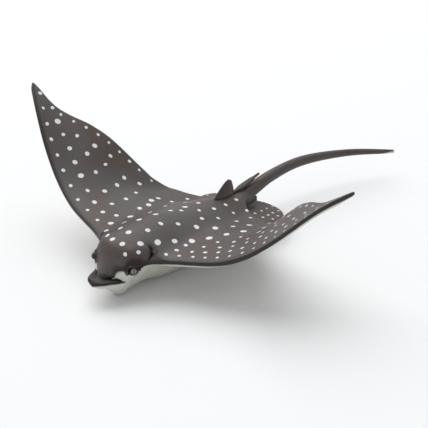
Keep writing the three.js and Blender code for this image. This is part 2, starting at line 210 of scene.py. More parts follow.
@dataclass(frozen=True)
class BodyForm:
    """Shape of head, trunk and wings, as closed rings over the back and belly."""

    snout_y: float = -14
    trunk_end_y: float = 76
    wing_root_z: float = 15.6
    root_start: float = 14
    root_slope: float = 0.13
    lift_start: float = 47.5
    lift_softness: float = 6
    tip_ease: float = 0.5
    tip_ease_start: float = 73
    tip_ease_softness: float = 3
    front_line: Pair = (7.5, 0.0043)  # y at the middle, and how fast it bows back
    pitch: float = 0.31
    pitch_in: Pair = (29, 54)
    pitch_out: Pair = (56, 80)
    rear_sag: float = 3.6
    sag_in: Pair = (38, 61)  # over y
    sag_out: Pair = (26, 36)  # over x
    rim_half: float = 0.9
    rim_width: float = 1.05
    wing_half_root: float = 2.3
    wing_half_tip: float = 0.9
    wing_thinning: Pair = (8, 78)
    rim_fullness: float = 7  # how far inside its rim a wing reaches its full thickness
    tip_hang: float = 0.9  # how much deeper the outer wing is below its middle
    hang_in: Pair = (54, 67)
    hang_out: Pair = (77, 82)
    skull_power: float = 2.4
    belly_power: float = 1.5
    tail_edge_z: float = 13.6
    brow: tuple[float, float, float, float] = (9.6, -0.3, 3.5, 1.2)  # x, y, radius, height
    blunting: Pair = (-9, -2.5)  # where the beak turns into the blunt skull
    lobe_edge: float = 2
    lip_softness: float = 0.25
    forehead_rear_y: float = -2
    forehead_foot: Curve = curve(
        (-11.1, 0), (-10.7, 1.2), (-9.9, 2.3), (-8.6, 3.4), (-7.5, 4.3), (-6.3, 5.3), (-5.2, 6.3),
        (-3.8, 7.7), (-2.6, 9.5), (-2, 10.5))
    crown: Curve = curve(
        (-11.2, 10.8), (-10.4, 11.4), (-8.6, 13), (-4.8, 17.3), (-1.3, 21.3), (3, 23),
        (9, 24.3), (16, 24.7), (24, 24.1), (34, 22.4), (45, 20.4), (55, 18.9), (62, 18),
        (69, 17.3), (76, 16.8))
    keel: Curve = curve(
        (-14, 8.8), (-12.5, 7.9), (-9, 6.3), (-5, 3.4), (-2, 1), (0, -0.2), (5, 0.9), (12, 1.1),
        (20, -0.9), (29, -1.7), (37, -2.5), (45, -1.5), (56, 2), (64, 5.2), (70, 8), (76, 10.4))
    hump_reach: Curve = curve(
        (0, 16), (8, 18), (20, 19), (35, 18), (48, 16), (58, 13.5), (66, 10), (76, 5))
    belly_reach: Curve = curve(
        (0, 9.5), (8, 11), (12, 12.5), (20, 16), (32, 17), (45, 16), (56, 13), (63, 10.5),
        (70, 6.5), (76, 4.5))
    chin_power: Curve = curve(
        (-14, 0.5), (-6, 0.7), (-2.5, 0.95), (1, 1.7), (8, 2.4), (20, 1), (60, 0.5))
    lobe_top: Curve = curve(
        (-14, 9.7), (-12.4, 10.9), (-9.8, 11), (-7.5, 10.7), (-6.3, 10.4), (-5.2, 10), (-3, 9.2))
    head_edge: Curve = curve(
        (-14, 8.9), (-12.4, 10), (-9.2, 9.9), (-6.1, 9.5), (-4.4, 9.5), (-2.8, 11.5), (0.2, 14.2),
        (3, 15.1), (8, 15.9))

    def wing_middle(self, x: Array, y: Array) -> Array:
        """Height of the wings' middle surface: level inside, then sweeping up."""
        x, y = np.asarray(x, float), np.asarray(y, float)
        up = self.root_slope * np.maximum(0, x - self.root_start)
        up = up + soft_ramp(x - self.lift_start, self.lift_softness)
        ease = self.tip_ease * soft_ramp(x - self.tip_ease_start, self.tip_ease_softness)
        front_y = self.front_line[0] + self.front_line[1] * x * x
        pitch = self.pitch * smoothstep(*self.pitch_in, x) * fade(*self.pitch_out, x)
        pitch = pitch * (y - front_y)
        sag = self.rear_sag * smoothstep(*self.sag_in, y) * fade(*self.sag_out, x)
        return self.wing_root_z + up - ease + pitch - sag

    def wing_half(self, x: Array, inside: Array) -> Array:
        """Half the wing's thickness, thinner towards the tip and the rim."""
        thin = smoothstep(*self.wing_thinning, x)
        full = between(self.wing_half_root, self.wing_half_tip, thin)
        return between(self.rim_half, full, 1 - np.exp(-np.asarray(inside) / self.rim_fullness))

    def wing_heights(
        self, x: Array, y: Array, inside: Array
    ) -> tuple[Array, Array]:
        """Top and bottom of trunk and wings, `inside` mm from the edge."""
        rounding = round_edge(inside, self.rim_width)
        half = self.wing_half(x, inside) * rounding
        root_half = self.wing_half(0, 20)
        hump = mound(x / self.hump_reach(y), 2, 2)
        bulge = mound(x / self.belly_reach(y), 2, self.belly_power)
        root = self.wing_middle(0, y)
        middle = self.wing_middle(x, y)
        top = middle + half + (self.crown(y) - root - root_half) * hump
        hang = self.tip_hang * smoothstep(*self.hang_in, x) * fade(*self.hang_out, x) * rounding
        bottom = middle - half - hang - (root - root_half - self.keel(y)) * bulge
        return top, bottom

    def head_heights(
        self, x: Array, y: Array, part: Array, edge: float, inside: Array
    ) -> tuple[Array, Array]:
        """Top and bottom of head or tail base at a part of its half width."""
        edge_x = x[-1]
        under = edge - (edge - self.keel(y)) * mound(part, 2, self.chin_power(y))
        over = mound(part, self.skull_power, 0.5)
        brow_x, brow_y, radius, height = self.brow
        brow = height * bump(np.hypot(x - brow_x, y - brow_y), radius)
        skull = edge + (self.crown(y) - edge) * over + brow * over
        width = np.minimum(self.forehead_foot(y), edge_x)
        lobe = edge + np.maximum(self.lobe_top(y) - edge, 0) * round_edge(inside, self.lobe_edge)
        ratio = np.clip(x / np.maximum(width, 1e-6), 0, 1)
        blunt = smoothstep(*self.blunting, y)
        dome = mound(ratio, between(2, self.skull_power, blunt), between(0.95, 0.5, blunt))
        front = edge + (self.crown(y) - edge) * dome + brow * dome
        softness = self.lip_softness * np.clip(inside / 0.5, 0.02, 1)
        front = lobe + soft_ramp(front - lobe, softness)
        return np.where(y > self.forehead_rear_y, skull, front), under


@dataclass(frozen=True)
class Outline:
    """Outline of the left half seen from above, from the snout round to the tail."""

    head_side: Rows = (
        (0, -14), (3.9, -12.4), (5.8, -9.2), (7.2, -6.1), (8.7, -2.9), (10.9, 0.2), (12, 3))
    leading_edge: Rows = (
        (14.4, 5.3), (20.4, 8.5), (28, 11), (38, 14), (46.2, 16.9), (55.8, 20.6), (63.3, 24.1),
        (70.2, 28), (77.2, 32.6))
    tip: Rows = ((81.4, 36), (82.4, 37.6), (80.6, 38))
    trailing_edge: Rows = (
        (75, 38), (70.6, 38.8), (66, 41), (58, 45.5), (48, 50.1), (38, 54.2), (33.6, 56),
        (30.2, 59), (25.7, 61.4), (20, 63.2), (16, 65))
    trunk_side: Rows = ((11.8, 67), (7.8, 69), (5, 72.2), (3.5, 76))

    def __post_init__(self) -> None:
        """Lays smooth curves through the outline's points by their distance along it."""
        parts = (self.head_side, self.leading_edge, self.tip, self.trailing_edge, self.trunk_side)
        points = np.array([point for part in parts for point in part], float)
        along = running(np.hypot(*np.diff(points, axis=0).T))
        made = {
            "x": Curve(np.column_stack((along, points[:, 0])), level=False),
            "y": Curve(np.column_stack((along, points[:, 1])), level=False),
            "wing_from": along[len(self.head_side) - 1],
            "tip_at": along[len(self.head_side) + len(self.leading_edge) + 1],
            "wing_to": along[-len(self.trunk_side)],
            "end": along[-1],
        }
        for name, value in made.items():
            object.__setattr__(self, name, value)

    def midline_y(self, at: float, form: BodyForm) -> float:
        """Where on the midline the rib starts that ends at this outline length."""
        root_front, root_rear = float(self.y(self.wing_from)), float(self.y(self.wing_to)) - 2
        if at <= self.wing_from:
            return max(form.snout_y + 0.05 * at, float(self.y(at)))
        if at <= self.wing_to:
            part = (at - self.wing_from) / (self.wing_to - self.wing_from)
            return between(root_front, root_rear, part)
        part = (at - self.wing_to) / (self.end - self.wing_to)
        return between(root_rear, form.trunk_end_y, part)


@dataclass(frozen=True)
class TailForm:
    """Path and thickness of the tail."""

    path: Rows = (
        (0, 72, 13.4), (0, 83, 14.7), (0.4, 94, 16.5), (2.5, 111.8, 17.6), (10, 135.9, 15.5),
        (20.9, 157.05, 12))
    radius: Curve = curve(
        (0, 3.5), (0.09, 3.1), (0.18, 2.65), (0.3, 2.35), (0.5, 2.05), (0.7, 1.6),
        (0.85, 1.25), (0.97, 0.9), (1, 0.75))
    steps: int = 130
    around: int = 48

    def rings(self, start_y: float) -> list[Array]:
        """Round rings along the tail's path, behind start_y, with a rounded tip."""
        points = np.array(self.path, float)
        knots = running(np.sqrt(np.linalg.norm(np.diff(points, axis=0), axis=1)))
        dense = through(knots, points)(np.linspace(0, knots[-1], 1200))
        lengths = running(np.linalg.norm(np.diff(dense, axis=0), axis=1))
        start = float(np.interp(start_y, dense[:, 1], lengths))
        stops = np.linspace(start, lengths[-1], self.steps)
        centres = np.column_stack([np.interp(stops, lengths, column) for column in dense.T])
        headings = np.gradient(centres, axis=0)
        reaches = [
            float(self.radius(stop / lengths[-1])) * blunt_end((lengths[-1] - stop) / 0.6, 0.02)
            for stop in stops]
        return [self.ring(*place) for place in zip(centres, headings, reaches)]

    def ring(self, centre: Array, heading: Array, reach: float) -> Array:
        """One round ring across the heading, from its top towards +X."""
        heading = heading / np.linalg.norm(heading)
        side = np.array((heading[1], -heading[0], 0))
        side = side / np.linalg.norm(side)
        up = np.cross(side, heading)
        angle = turns(self.around)
        return centre + reach * (np.outer(np.sin(angle), side) + np.outer(np.cos(angle), up))


class Lofter:
    """Collects rings of points and joins them into one closed skin."""

    def __init__(self) -> None:
        """Starts with no points."""
        self.points: list[Array] = []
        self.faces: list[tuple[int, ...]] = []
        self.count = 0
        self.last: tuple[int, int] | None = None

    def add(self, ring: Array) -> None:
        """Joins one more ring on; it may have a whole fraction of the last one's points."""
        base, size = self.count, len(ring)
        self.points.append(ring)
        self.count += size
        if self.last is None:
            self.cap(ring, base, True)
        else:
            start, before = self.last
            share = before // size
            for j in range(size):
                following = (j + 1) % size
                for k in range(share):
                    a = start + j * share + k
                    b = start + (j * share + k + 1) % before
                    if k < share - 1:
                        self.faces.append((a, b, base + j))
                    else:
                        self.faces.append((a, b, base + following, base + j))
        self.last = (base, size)

    def cap(self, ring: Array, base: int, front: bool) -> None:
        """Closes a ring with a fan of faces round its middle."""
        self.points.append(ring.mean(axis=0, keepdims=True))
        size, middle = len(ring), self.count
        self.count += 1
        for j in range(size):
            a, b = base + j, base + (j + 1) % size
            self.faces.append((b, a, middle) if front else (a, b, middle))

    def piece(self, name: str) -> Piece:
        """Closes the far end and makes the mesh object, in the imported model's frame.

        Args:
            name: the object's name.

        Returns:
            The new object, linked to the scene.
        """
        self.cap(self.points[-1], self.last[0], False)
        mesh = bpy.data.meshes.new(name)
        mesh.from_pydata(to_frame(np.vstack(self.points)).tolist(), [], self.faces)
        mesh.validate()
        made = bpy.data.objects.new(name, mesh)
        bpy.context.scene.collection.objects.link(made)
        return made


@dataclass(frozen=True)
class BodyLoft:
    """How finely the body's skin is laid, and its rings."""

    form: BodyForm
    outline: Outline
    quarter: int = 48
    body_share: float = 0.34
    rim_share: float = 0.86
    head_step: float = 0.33
    wing_step: float = 0.7
    trunk_step: float = 0.45
    wing_in_front: Pair = (11, 22)  # where the ribs turn from head to wing, over the edge's x
    wing_in_rear: Pair = (5, 14)
    body_reach: float = 20

    def stops(self) -> Array:
        """Outline lengths at which a ring is laid, closest on the head and tip."""
        line, fine = self.outline, self.head_step
        starts = (
            (0.12, fine * 0.6), (3, fine * 0.55), (line.wing_from - 3, fine),
            (line.wing_from + 6, self.wing_step), (line.tip_at - 3, fine * 0.7),
            (line.tip_at + 3, self.wing_step), (line.wing_to, self.trunk_step), (line.end, 0))
        runs = [
            np.linspace(start, end, max(2, round((end - start) / step)), endpoint=False)
            for (start, step), (end, _) in zip(starts, starts[1:])]
        return np.concatenate((*runs, [line.end]))

    def parts(self, length: float, winged: float) -> Array:
        """Parts of the half width at which a rib has its points, packed at the rim."""
        form = self.form
        share = np.linspace(0, 1, self.quarter + 1)
        body_end = min(self.body_reach, length * 0.5)
        rim_start = length - form.rim_width
        body = body_end * share / self.body_share
        wing = (share - self.body_share) / (self.rim_share - self.body_share)
        rim = (share - self.rim_share) / (1 - self.rim_share)
        reach = np.where(share < self.body_share, body, between(body_end, rim_start, wing))
        rounded = length - form.rim_width * np.cos(rim * np.pi / 2) ** 2
        reach = np.where(share < self.rim_share, reach, rounded)
        return between(np.sin(share * np.pi / 2), reach / length, winged)

    def ring(self, at: float) -> Array:
        """The closed ring of points that ends at this outline length on both sides."""
        form, line = self.form, self.outline
        edge_x, edge_y = float(line.x(at)), float(line.y(at))
        start_y = line.midline_y(at, form)
        front = at < (line.wing_from + line.wing_to) / 2
        winged = float(smoothstep(*(self.wing_in_front if front else self.wing_in_rear), edge_x))
        length = math.hypot(edge_x, edge_y - start_y)
        head_z = float(form.head_edge(edge_y)) if front else form.tail_edge_z
        edge_z = between(head_z, float(form.wing_middle(edge_x, edge_y)), winged)
        part = self.parts(length, winged)
        x, y, inside = edge_x * part, between(start_y, edge_y, part), length * (1 - part)
        head = form.head_heights(x, y, part, edge_z, inside)
        wing = form.wing_heights(x, y, inside)
        top, bottom = between(head[0], wing[0], winged), between(head[1], wing[1], winged)
        top[-1] = bottom[-1] = edge_z
        over, under = (np.column_stack((x, y, z)) for z in (top, bottom))
        far = (-1, 1, 1)
        made = np.vstack((over[:-1], under[:0:-1], under[:-1] * far, over[:0:-1] * far))
        made[:, 2] = np.maximum(made[:, 2], 0)
        return made

    def rim(self, count: int = 1500) -> tuple[Array, Array]:
        """Points along the left rim in space, and their outline lengths."""
        stops = np.linspace(0.12, self.outline.end, count)
        return np.array([self.ring(at)[self.quarter] for at in stops]), stops


# ---- moulded details


class Detail:
    """A small moulded form that shapes and darkens the skin around it."""

    def near(self, points: Array) -> Array:
        """Which points lie where the skin has to be laid finer."""
        raise NotImplementedError

    def shift(self, points: Array, normals: Array) -> Array:
        """How far each point moves."""
        return np.zeros_like(points)

    def dark(self, points: Array) -> Array:
        """How much darker the paint is at each point, from 0 to 1, painted shade included."""
        return np.zeros(len(points))


class SideDetail(Detail):
    """A detail on one side of the head, its place given for the left side."""

    side: Side
    place: Triple

    def offset(self, points: Array) -> Array:
        """Each point's offset from the detail's place, mirrored to the left."""
        return points * (self.side.value, 1, 1) - self.place


@dataclass(frozen=True)
class EyeSocket(SideDetail):
    """Lids, brow folds and the hollow that an eye sits in."""

    side: Side
    place: Triple = (10.35, -1.5, 13.85)
    turn: float = -0.35
    half_length: float = 1.95
    half_height: float = 1.5
    hollow: float = 0.9
    lid: Triple = (0.85, 1.15, 0.4)  # height, place from the eye's middle, and width
    crease: Triple = (0.22, 1.48, 0.12)
    brow_fold: Triple = (0.16, 1.85, 0.25)

    def local(self, points: Array) -> tuple[Array, Array, Array]:
        """Each point's place along, above and out of the eye."""
        offset = self.offset(points)
        out = offset[:, 0] * math.cos(self.turn) + offset[:, 1] * math.sin(self.turn)
        along = offset[:, 1] * math.cos(self.turn) - offset[:, 0] * math.sin(self.turn)
        return along, offset[:, 2], out

    def ring(self, points: Array) -> Array:
        """1 on the eye's edge, less inside it and more outside; far off behind it."""
        along, above, out = self.local(points)
        level = np.hypot(along / self.half_length, above / self.half_height)
        return np.where(out > -4, level, FAR_OFF)

    def near(self, points: Array) -> Array:
        """The eye and the folds round it."""
        return self.ring(points) < 2.4

    def shift(self, points: Array, normals: Array) -> Array:
        """Sinks the hollow, and raises the lids and the folds over them."""
        level, above = self.ring(points), self.local(points)[1]
        upper = smoothstep(-0.9, 0.6, above)
        move = -self.hollow * smoothstep(1.02, 0.72, level)
        lid, crease, brow_fold = (
            height * bump(level - place, width)
            for height, place, width in (self.lid, self.crease, self.brow_fold))
        move = move + lid * between(0.7, 1, upper)
        move = move - crease * upper
        move = move + brow_fold * upper
        return normals * move[:, None]

    def dark(self, points: Array) -> Array:
        """Black-brown round the eye, strongest over it."""
        _, above, out = self.local(points)
        level = self.ring(points)
        upper = smoothstep(-1.4, 1.4, above) * smoothstep(-4, -1.2, out)
        rim = fade(1.05, 1.3, level)
        over = fade(1.2, 5, level) * upper * 0.72
        return np.maximum(rim, over)


@dataclass(frozen=True)
class Spiracle(SideDetail):
    """The breathing hole behind an eye, a narrow hollow with a raised front lip."""

    side: Side
    place: Triple = (12.2, 6.2, 19.4)
    rise: Triple = (-0.42, 0.66, 0.62)
    across: Triple = (0.49, 0.74, -0.46)
    half_length: float = 2.15
    half_width: float = 0.62
    flare: float = 0.2  # how fast it widens upwards
    bend: float = 0.08
    ahead: float = 0.1
    reach: Triple = (3.6, 5, 6)  # of the finer skin, of the lip and of the painted shade
    depth: float = 2.2
    lip: Triple = (0.22, 1.75, 0.5)  # height, place from the hole's middle, and width

    def within(self, points: Array, reach: float) -> Array:
        """Which points lie within this reach of the hole's middle."""
        return np.linalg.norm(self.offset(points), axis=1) < reach

    def level(self, points: Array) -> Array:
        """1 on the hole's edge, and less inside it."""
        offset = self.offset(points)
        along, across = offset @ np.array(self.rise), offset @ np.array(self.across)
        across = across + self.bend * along * along - self.ahead
        wide = self.half_width + self.flare * np.clip(along, -2, 2)
        return np.hypot(across / wide, along / self.half_length)

    def near(self, points: Array) -> Array:
        """The hole and its lips."""
        return self.within(points, self.reach[0])

    def shift(self, points: Array, normals: Array) -> Array:
        """Sinks the hole and raises a soft lip round it."""
        level, (height, place, width) = self.level(points), self.lip
        move = -self.depth * np.exp(-(level**4)) + height * bump(level - place, width)
        return normals * (move * self.within(points, self.reach[1]))[:, None]

    def dark(self, points: Array) -> Array:
        """Painted shade: black inside the hollow, with a soft painted shadow round its edge."""
        level = self.level(points)
        # painted shade: black in the hollow and a soft halo of shade round it
        ink_and_shade = np.maximum(fade(1.1, 1.6, level), 0.5 * bump(level, 3.2))
        return self.within(points, self.reach[2]) * ink_and_shade


@dataclass(frozen=True)
class SnoutGroove(Detail):
    """The slit where the forehead meets the lobe under the snout, with painted shade in it."""

    height: float = 10.9
    start: Pair = (1.6, -10.2)  # x and y
    corner: Triple = (7.7, -2.9, 8.6)
    belly: Pair = (4.6, -6.9)  # x and y of the slit's middle
    depth: float = 1.0
    width: float = 0.5
    band: float = 1.4  # how far from the slit the skin is laid finer
    inner: Triple = (0, -1.5, -0.9)  # where the slit sinks towards, its z from the slit's own
    steps: int = 70

    def path(self) -> Array:
        """Points along the left slit, from beside the beak to the corner of the mouth."""
        knots = np.array((self.start, self.belly, self.corner[:2]), float)
        share = np.linspace(0, 1, self.steps)
        fall = (self.height - self.corner[2]) * smoothstep(0.3, 1.15, share)
        return np.column_stack((through((0, 0.5, 1), knots)(share), self.height - fall))

    def nearest(self, points: Array) -> tuple[Array, Array]:
        """Distance to the slit, and the part of the way along it; far off beyond 4 mm."""
        path = self.path()
        distance, along = np.full(len(points), FAR_OFF), np.zeros(len(points))
        box = (points[:, 1] < 1) & (np.abs(points[:, 2] - self.height) < 5)
        apart = np.linalg.norm(fold(points[box])[:, None, :] - path[None, :, :], axis=2)
        distance[box] = apart.min(axis=1)
        along[box] = apart.argmin(axis=1) / (len(path) - 1)
        return distance, along

    def near(self, points: Array) -> Array:
        """A band along the slit."""
        return self.nearest(points)[0] < self.band

    def shift(self, points: Array, normals: Array) -> Array:
        """Sinks the slit in under the brow, less at both of its ends."""
        distance, along = self.nearest(points)
        inward = np.array((0, 0, self.height)) + self.inner - points
        inward = inward / np.linalg.norm(inward, axis=1, keepdims=True)
        full = smoothstep(-0.1, 0.3, along) * fade(0.75, 1.05, along)
        move = self.depth * bump(distance, self.width * between(0.6, 1, full))
        return inward * (move * between(0.25, 1, full))[:, None]

    def dark(self, points: Array) -> Array:
        """Painted shade: black-brown in the slit, thinning out towards its corner."""
        distance, along = self.nearest(points)
        full = smoothstep(-0.15, 0.25, along) * fade(0.6, 1.02, along)
        # painted shade in the slit under the brow's overhang
        ink_and_shade = 1.15 * fade(0.3, 1.0, distance / between(0.55, 1, full))
        return ink_and_shade * fade(0.9, 1, along)


class Slits(Detail):
    """Shallow slits, each sunk by the same depth."""

    depth: float

    def level(self, points: Array) -> Array:
        """1 on the edge of the nearest slit, and less inside it."""
        raise NotImplementedError

    def shift(self, points: Array, normals: Array) -> Array:
        """Sinks the slits."""
        return normals * (-self.depth * bump(self.level(points), 1.0))[:, None]


@dataclass(frozen=True)
class GillSlits(Slits):
    """Five shallow slits on one side of the belly."""

    side: Side
    first: Pair = (7.4, 11.5)
    step: Pair = (0.28, 3.1)
    count: int = 5
    half_length: float = 1.7
    half_width: float = 0.3
    slope: float = 0.25
    bend: float = 0.12
    below_z: float = 9
    depth: float = 0.45

    def level(self, points: Array) -> Array:
        """1 on the edge of the nearest slit, and less inside it."""
        near = np.full(len(points), FAR_OFF)
        for i in range(self.count):
            x = points[:, 0] * self.side.value - self.first[0] - self.step[0] * i
            y = points[:, 1] - self.first[1] - self.step[1] * i
            across = y - self.slope * x + self.bend * x * x
            near = np.minimum(near, np.hypot(x / self.half_length, across / self.half_width))
        return np.where(points[:, 2] < self.below_z, near, FAR_OFF)

    def near(self, points: Array) -> Array:
        """The strip that the slits lie in."""
        x = points[:, 0] * self.side.value - self.first[0]
        y = points[:, 1] - self.first[1]
        inside = (np.abs(x - 0.5) < 3) & (y > -1.5) & (y < self.step[1] * self.count)
        return inside & (points[:, 2] < self.below_z)


@dataclass(frozen=True)
class Mouth(Slits):
    """The mouth's bowed slit and the two nostrils, under the head."""

    y: float = -1.6
    bow: float = 0.05
    lead: float = 0.6
    half_height: float = 0.35
    half_width: float = 4.3
    nostril: Pair = (2.9, -4.6)
    nostril_half: Pair = (0.9, 0.4)
    nostril_slope: float = 0.5
    below_z: float = 6
    depth: float = 0.55

    def level(self, points: Array) -> Array:
        """Distance to the nearest slit, in slit widths."""
        x = np.abs(points[:, 0])
        mouth = np.abs(points[:, 1] - self.y - self.bow * x * x + self.lead)
        mouth = np.hypot(mouth, np.maximum(0, x - self.half_width)) / self.half_height
        along = x - self.nostril[0]
        across = points[:, 1] - self.nostril[1] - self.nostril_slope * along
        nostril = np.hypot(across / self.nostril_half[1], along / self.nostril_half[0])
        return np.where(points[:, 2] < self.below_z, np.minimum(mouth, nostril), FAR_OFF)

    def near(self, points: Array) -> Array:
        """The strip under the head."""
        x, y, z = fold(points).T
        return (z < self.below_z) & (x < 6) & (np.abs(y + 2.6) < 3.4)


# ---- the fins


@dataclass(frozen=True)
class DorsalFin:
    """The small raked fin ahead of the tail's barb."""

    root_z: float = 15.5
    tip_z: float = 24.7
    front: Curve = curve(
        (15.5, 55), (19.9, 58.6), (22.6, 62), (24.2, 64.8), (24.7, 66.1))
    rear: Curve = curve(
        (15.5, 71), (18.6, 70), (22.2, 69), (23.9, 68.1), (24.7, 66.8))
    thick: Curve = curve((15.5, 1.6), (19, 1.1), (24.7, 0.35))
    levels: int = 40
    around: int = 56

    def build(self) -> Piece:
        """Stacks leaf-shaped rings from the root up to the rounded tip."""
        lofter = Lofter()
        angle = turns(self.around)
        for share in np.linspace(0, 1, self.levels):
            z = between(self.root_z, self.tip_z, share)
            left = (1 - share) * (self.tip_z - self.root_z)
            rounding = blunt_end(left / 0.5, 0.03)
            centre = (self.front(z) + self.rear(z)) / 2
            half = (self.rear(z) - self.front(z)) / 2 * rounding
            x = self.thick(z) * np.sin(angle) * rounding
            y = centre - half * np.cos(angle)
            lofter.add(np.column_stack((-x, y, np.full(self.around, z))))
        return lofter.piece("dorsal_fin_blank")


@dataclass(frozen=True)
class PelvicFin:
    """A thin round fan beside the tail's root, sloping down to its rear edge."""

    side: Side
    x: float = 6.3
    y: float = 74.6
    radius: float = 13
    root_z: float = 10.8
    root_y: float = 68
    slope: float = 0.185
    droop: float = 0.05
    half: float = 0.65
    thinning: Pair = (1.25, 0.8)  # of the half thickness, at the fan's middle and at its rim
    around: int = 96

    def height(self, x: Array, y: Array) -> Array:
        """Height of the fan's middle surface."""
        return self.root_z - self.slope * (y - self.root_y) - self.droop * np.abs(x)

    def build(self) -> Piece:
        """Lays closed rings over the top, round the rim and under the fan."""
        lofter = Lofter()
        angle = turns(self.around) * -self.side.value
        turn = np.linspace(0, np.pi, 17)
        inner = np.linspace(0.12, 0.86, 9)
        reaches = [(reach, 1.0) for reach in inner]
        reaches += [(0.9 + 0.1 * math.sin(a), math.cos(a)) for a in turn]
        reaches += [(reach, -1.0) for reach in inner[::-1]]
        for reach, level in reaches:
            x = (self.x + self.radius * reach * np.cos(angle)) * self.side.value
            y = self.y + self.radius * reach * np.sin(angle)
            thin = self.half * between(*self.thinning, smoothstep(0, 1, reach))
            lofter.add(np.column_stack((x, y, self.height(x, y) + thin * level)))
        return lofter.piece("pelvic_fin_blank")


@dataclass(frozen=True)
class RootFlap:
    """The leaf-shaped lobe that lies along one side of the tail's root, darkened with painted
    shade.
    """

    side: Side
    start: Triple = (4.6, 66.5, 13.4)
    end: Triple = (3.9, 80.4, 13.1)
    width: Curve = curve(
        (0, 0.3), (0.25, 1.2), (0.6, 1.9), (0.85, 1.6), (1, 0.7))
    half: float = 0.8
    levels: int = 34
    around: int = 28

    def build(self) -> Piece:
        """Lays flat rings from the lobe's root to its rounded end."""
        lofter = Lofter()
        angle = turns(self.around) * self.side.value
        for share in np.linspace(0, 1, self.levels):
            x, y, z = between(np.array(self.start), np.array(self.end), share)
            rounding = blunt_end((1 - share) * 8, 0.05)
            wide, thick = self.width(share) * rounding, self.half * rounding
            across = (x + wide * np.sin(angle) * self.side.value) * self.side.value
            height = z + thick * np.cos(angle) - 0.25 * wide * np.sin(angle)
            lofter.add(np.column_stack((across, np.full(self.around, y), height)))
        return lofter.piece("root_flap_blank")


# ---- the bench


class Bench:
    """Hand work on one piece: picking it, editing it and applying its modifiers."""

    @staticmethod
    def hold(piece: Piece) -> None:
        """Makes the piece the only one selected, and the active one."""
        bpy.ops.object.select_all(action="DESELECT")
        piece.select_set(True)
        bpy.context.view_layer.objects.active = piece

    @staticmethod
    @contextmanager
    def editing(piece: Piece) -> Iterator[bmesh.types.BMesh]:
        """Opens the piece in edit mode with nothing selected, and closes it again."""
        Bench.hold(piece)
        bpy.ops.object.mode_set(mode="EDIT")
        bpy.ops.mesh.select_mode(type="FACE")
        bpy.ops.mesh.select_all(action="DESELECT")
        try:
            yield bmesh.from_edit_mesh(piece.data)
        finally:
            bpy.ops.object.mode_set(mode="OBJECT")

    @staticmethod
    def pick(piece: Piece, test: Callable[[Vector, Vector], bool]) -> None:
        """Selects the faces whose middle and normal pass a test, in edit mode.

        Args:
            piece: the piece that is open in edit mode.
            test: takes a face's middle and its normal.
        """
        mesh = bmesh.from_edit_mesh(piece.data)
        mesh.normal_update()
        for face in mesh.faces:
            face.select_set(test(face.calc_center_median(), face.normal))
        mesh.select_flush_mode()
        bmesh.update_edit_mesh(piece.data)

    @staticmethod
    def finish(piece: Piece, kind: str, **settings: object) -> None:
        """Adds a modifier with these settings and applies it."""
        Bench.hold(piece)
        modifier = piece.modifiers.new(kind.lower(), kind)
        for name, value in settings.items():
            setattr(modifier, name, value)
        bpy.ops.object.modifier_apply(modifier=modifier.name)

    @staticmethod
    def settle(piece: Piece) -> None:
        """Puts the piece's place, turn and size into its mesh."""
        Bench.hold(piece)
        bpy.ops.object.transform_apply(location=True, rotation=True, scale=True)


class Points:
    """Reads and writes a mesh's points and attributes as arrays."""

    @staticmethod
    def fetch(items: Sequence[object], name: str, width: int, kind: type = np.float32) -> Array:
        """One property of every item, as a row of this width for each."""
        flat = np.zeros(len(items) * width, kind)
        items.foreach_get(name, flat)
        return flat.reshape(-1, width)

    @staticmethod
    def read(mesh: bpy.types.Mesh) -> Array:
        """The mesh's points, in millimetres from the chin's touch."""
        return from_frame(Points.fetch(mesh.vertices, "co", 3))

    @staticmethod
    def write(mesh: bpy.types.Mesh, points: Array) -> None:
        """Moves the mesh's points to places in millimetres."""
        mesh.vertices.foreach_set("co", to_frame(points).astype(np.float32).ravel())
        mesh.update()

    @staticmethod
    def normals(mesh: bpy.types.Mesh) -> Array:
        """The mesh's normals at its points."""
        return Points.fetch(mesh.vertex_normals, "vector", 3).astype(float)

    @staticmethod
    def label(mesh: bpy.types.Mesh, name: str, domain: str, values: Array) -> None:
        """Stores three numbers for each point or face corner under a name."""
        layer = mesh.attributes.new(name, "FLOAT_VECTOR", domain)
        layer.data.foreach_set("vector", values.astype(np.float32).ravel())

    @staticmethod
    def faces(mesh: bpy.types.Mesh) -> tuple[Array, Array]:
        """The middles of the mesh's faces, in millimetres, and their normals."""
        middles, normals = (Points.fetch(mesh.polygons, name, 3) for name in ("center", "normal"))
        return from_frame(middles), normals.astype(float)

    @staticmethod
    def corners(mesh: bpy.types.Mesh) -> tuple[Array, Array]:
        """The point and the face that each face corner belongs to."""
        points = Points.fetch(mesh.loops, "vertex_index", 1, np.int32)[:, 0]
        sizes = Points.fetch(mesh.polygons, "loop_total", 1, np.int32)[:, 0]
        return points, np.repeat(np.arange(len(sizes)), sizes)

    @staticmethod
    def smooth(mesh: bpy.types.Mesh, weight: Array, rounds: int) -> None:
        """Draws each point towards its neighbours' middle, as far as its weight says."""
        points = Points.read(mesh)
        edges = Points.fetch(mesh.edges, "vertices", 2, np.int32)
        ends, others = edges.ravel(), edges[:, ::-1].ravel()
        count = np.maximum(np.bincount(ends, minlength=len(points)), 1)
        for _ in range(rounds):
            middle = np.column_stack([
                np.bincount(ends, points[others, k], len(points)) / count for k in range(3)])
            points = points + (middle - points) * weight[:, None]
        Points.write(mesh, points)

    @staticmethod
    def refine(mesh: bpy.types.Mesh, near: Callable[[Array], Array]) -> None:
        """Splits the faces that have a point where `near` says so."""
        marked = near(Points.read(mesh))
        work = bmesh.new()
        work.from_mesh(mesh)
        edges = [e for e in work.edges if marked[e.verts[0].index] and marked[e.verts[1].index]]
        bmesh.ops.subdivide_edges(work, edges=edges, cuts=1, use_grid_fill=True)
        work.to_mesh(mesh)
        work.free()


# ---- the spots


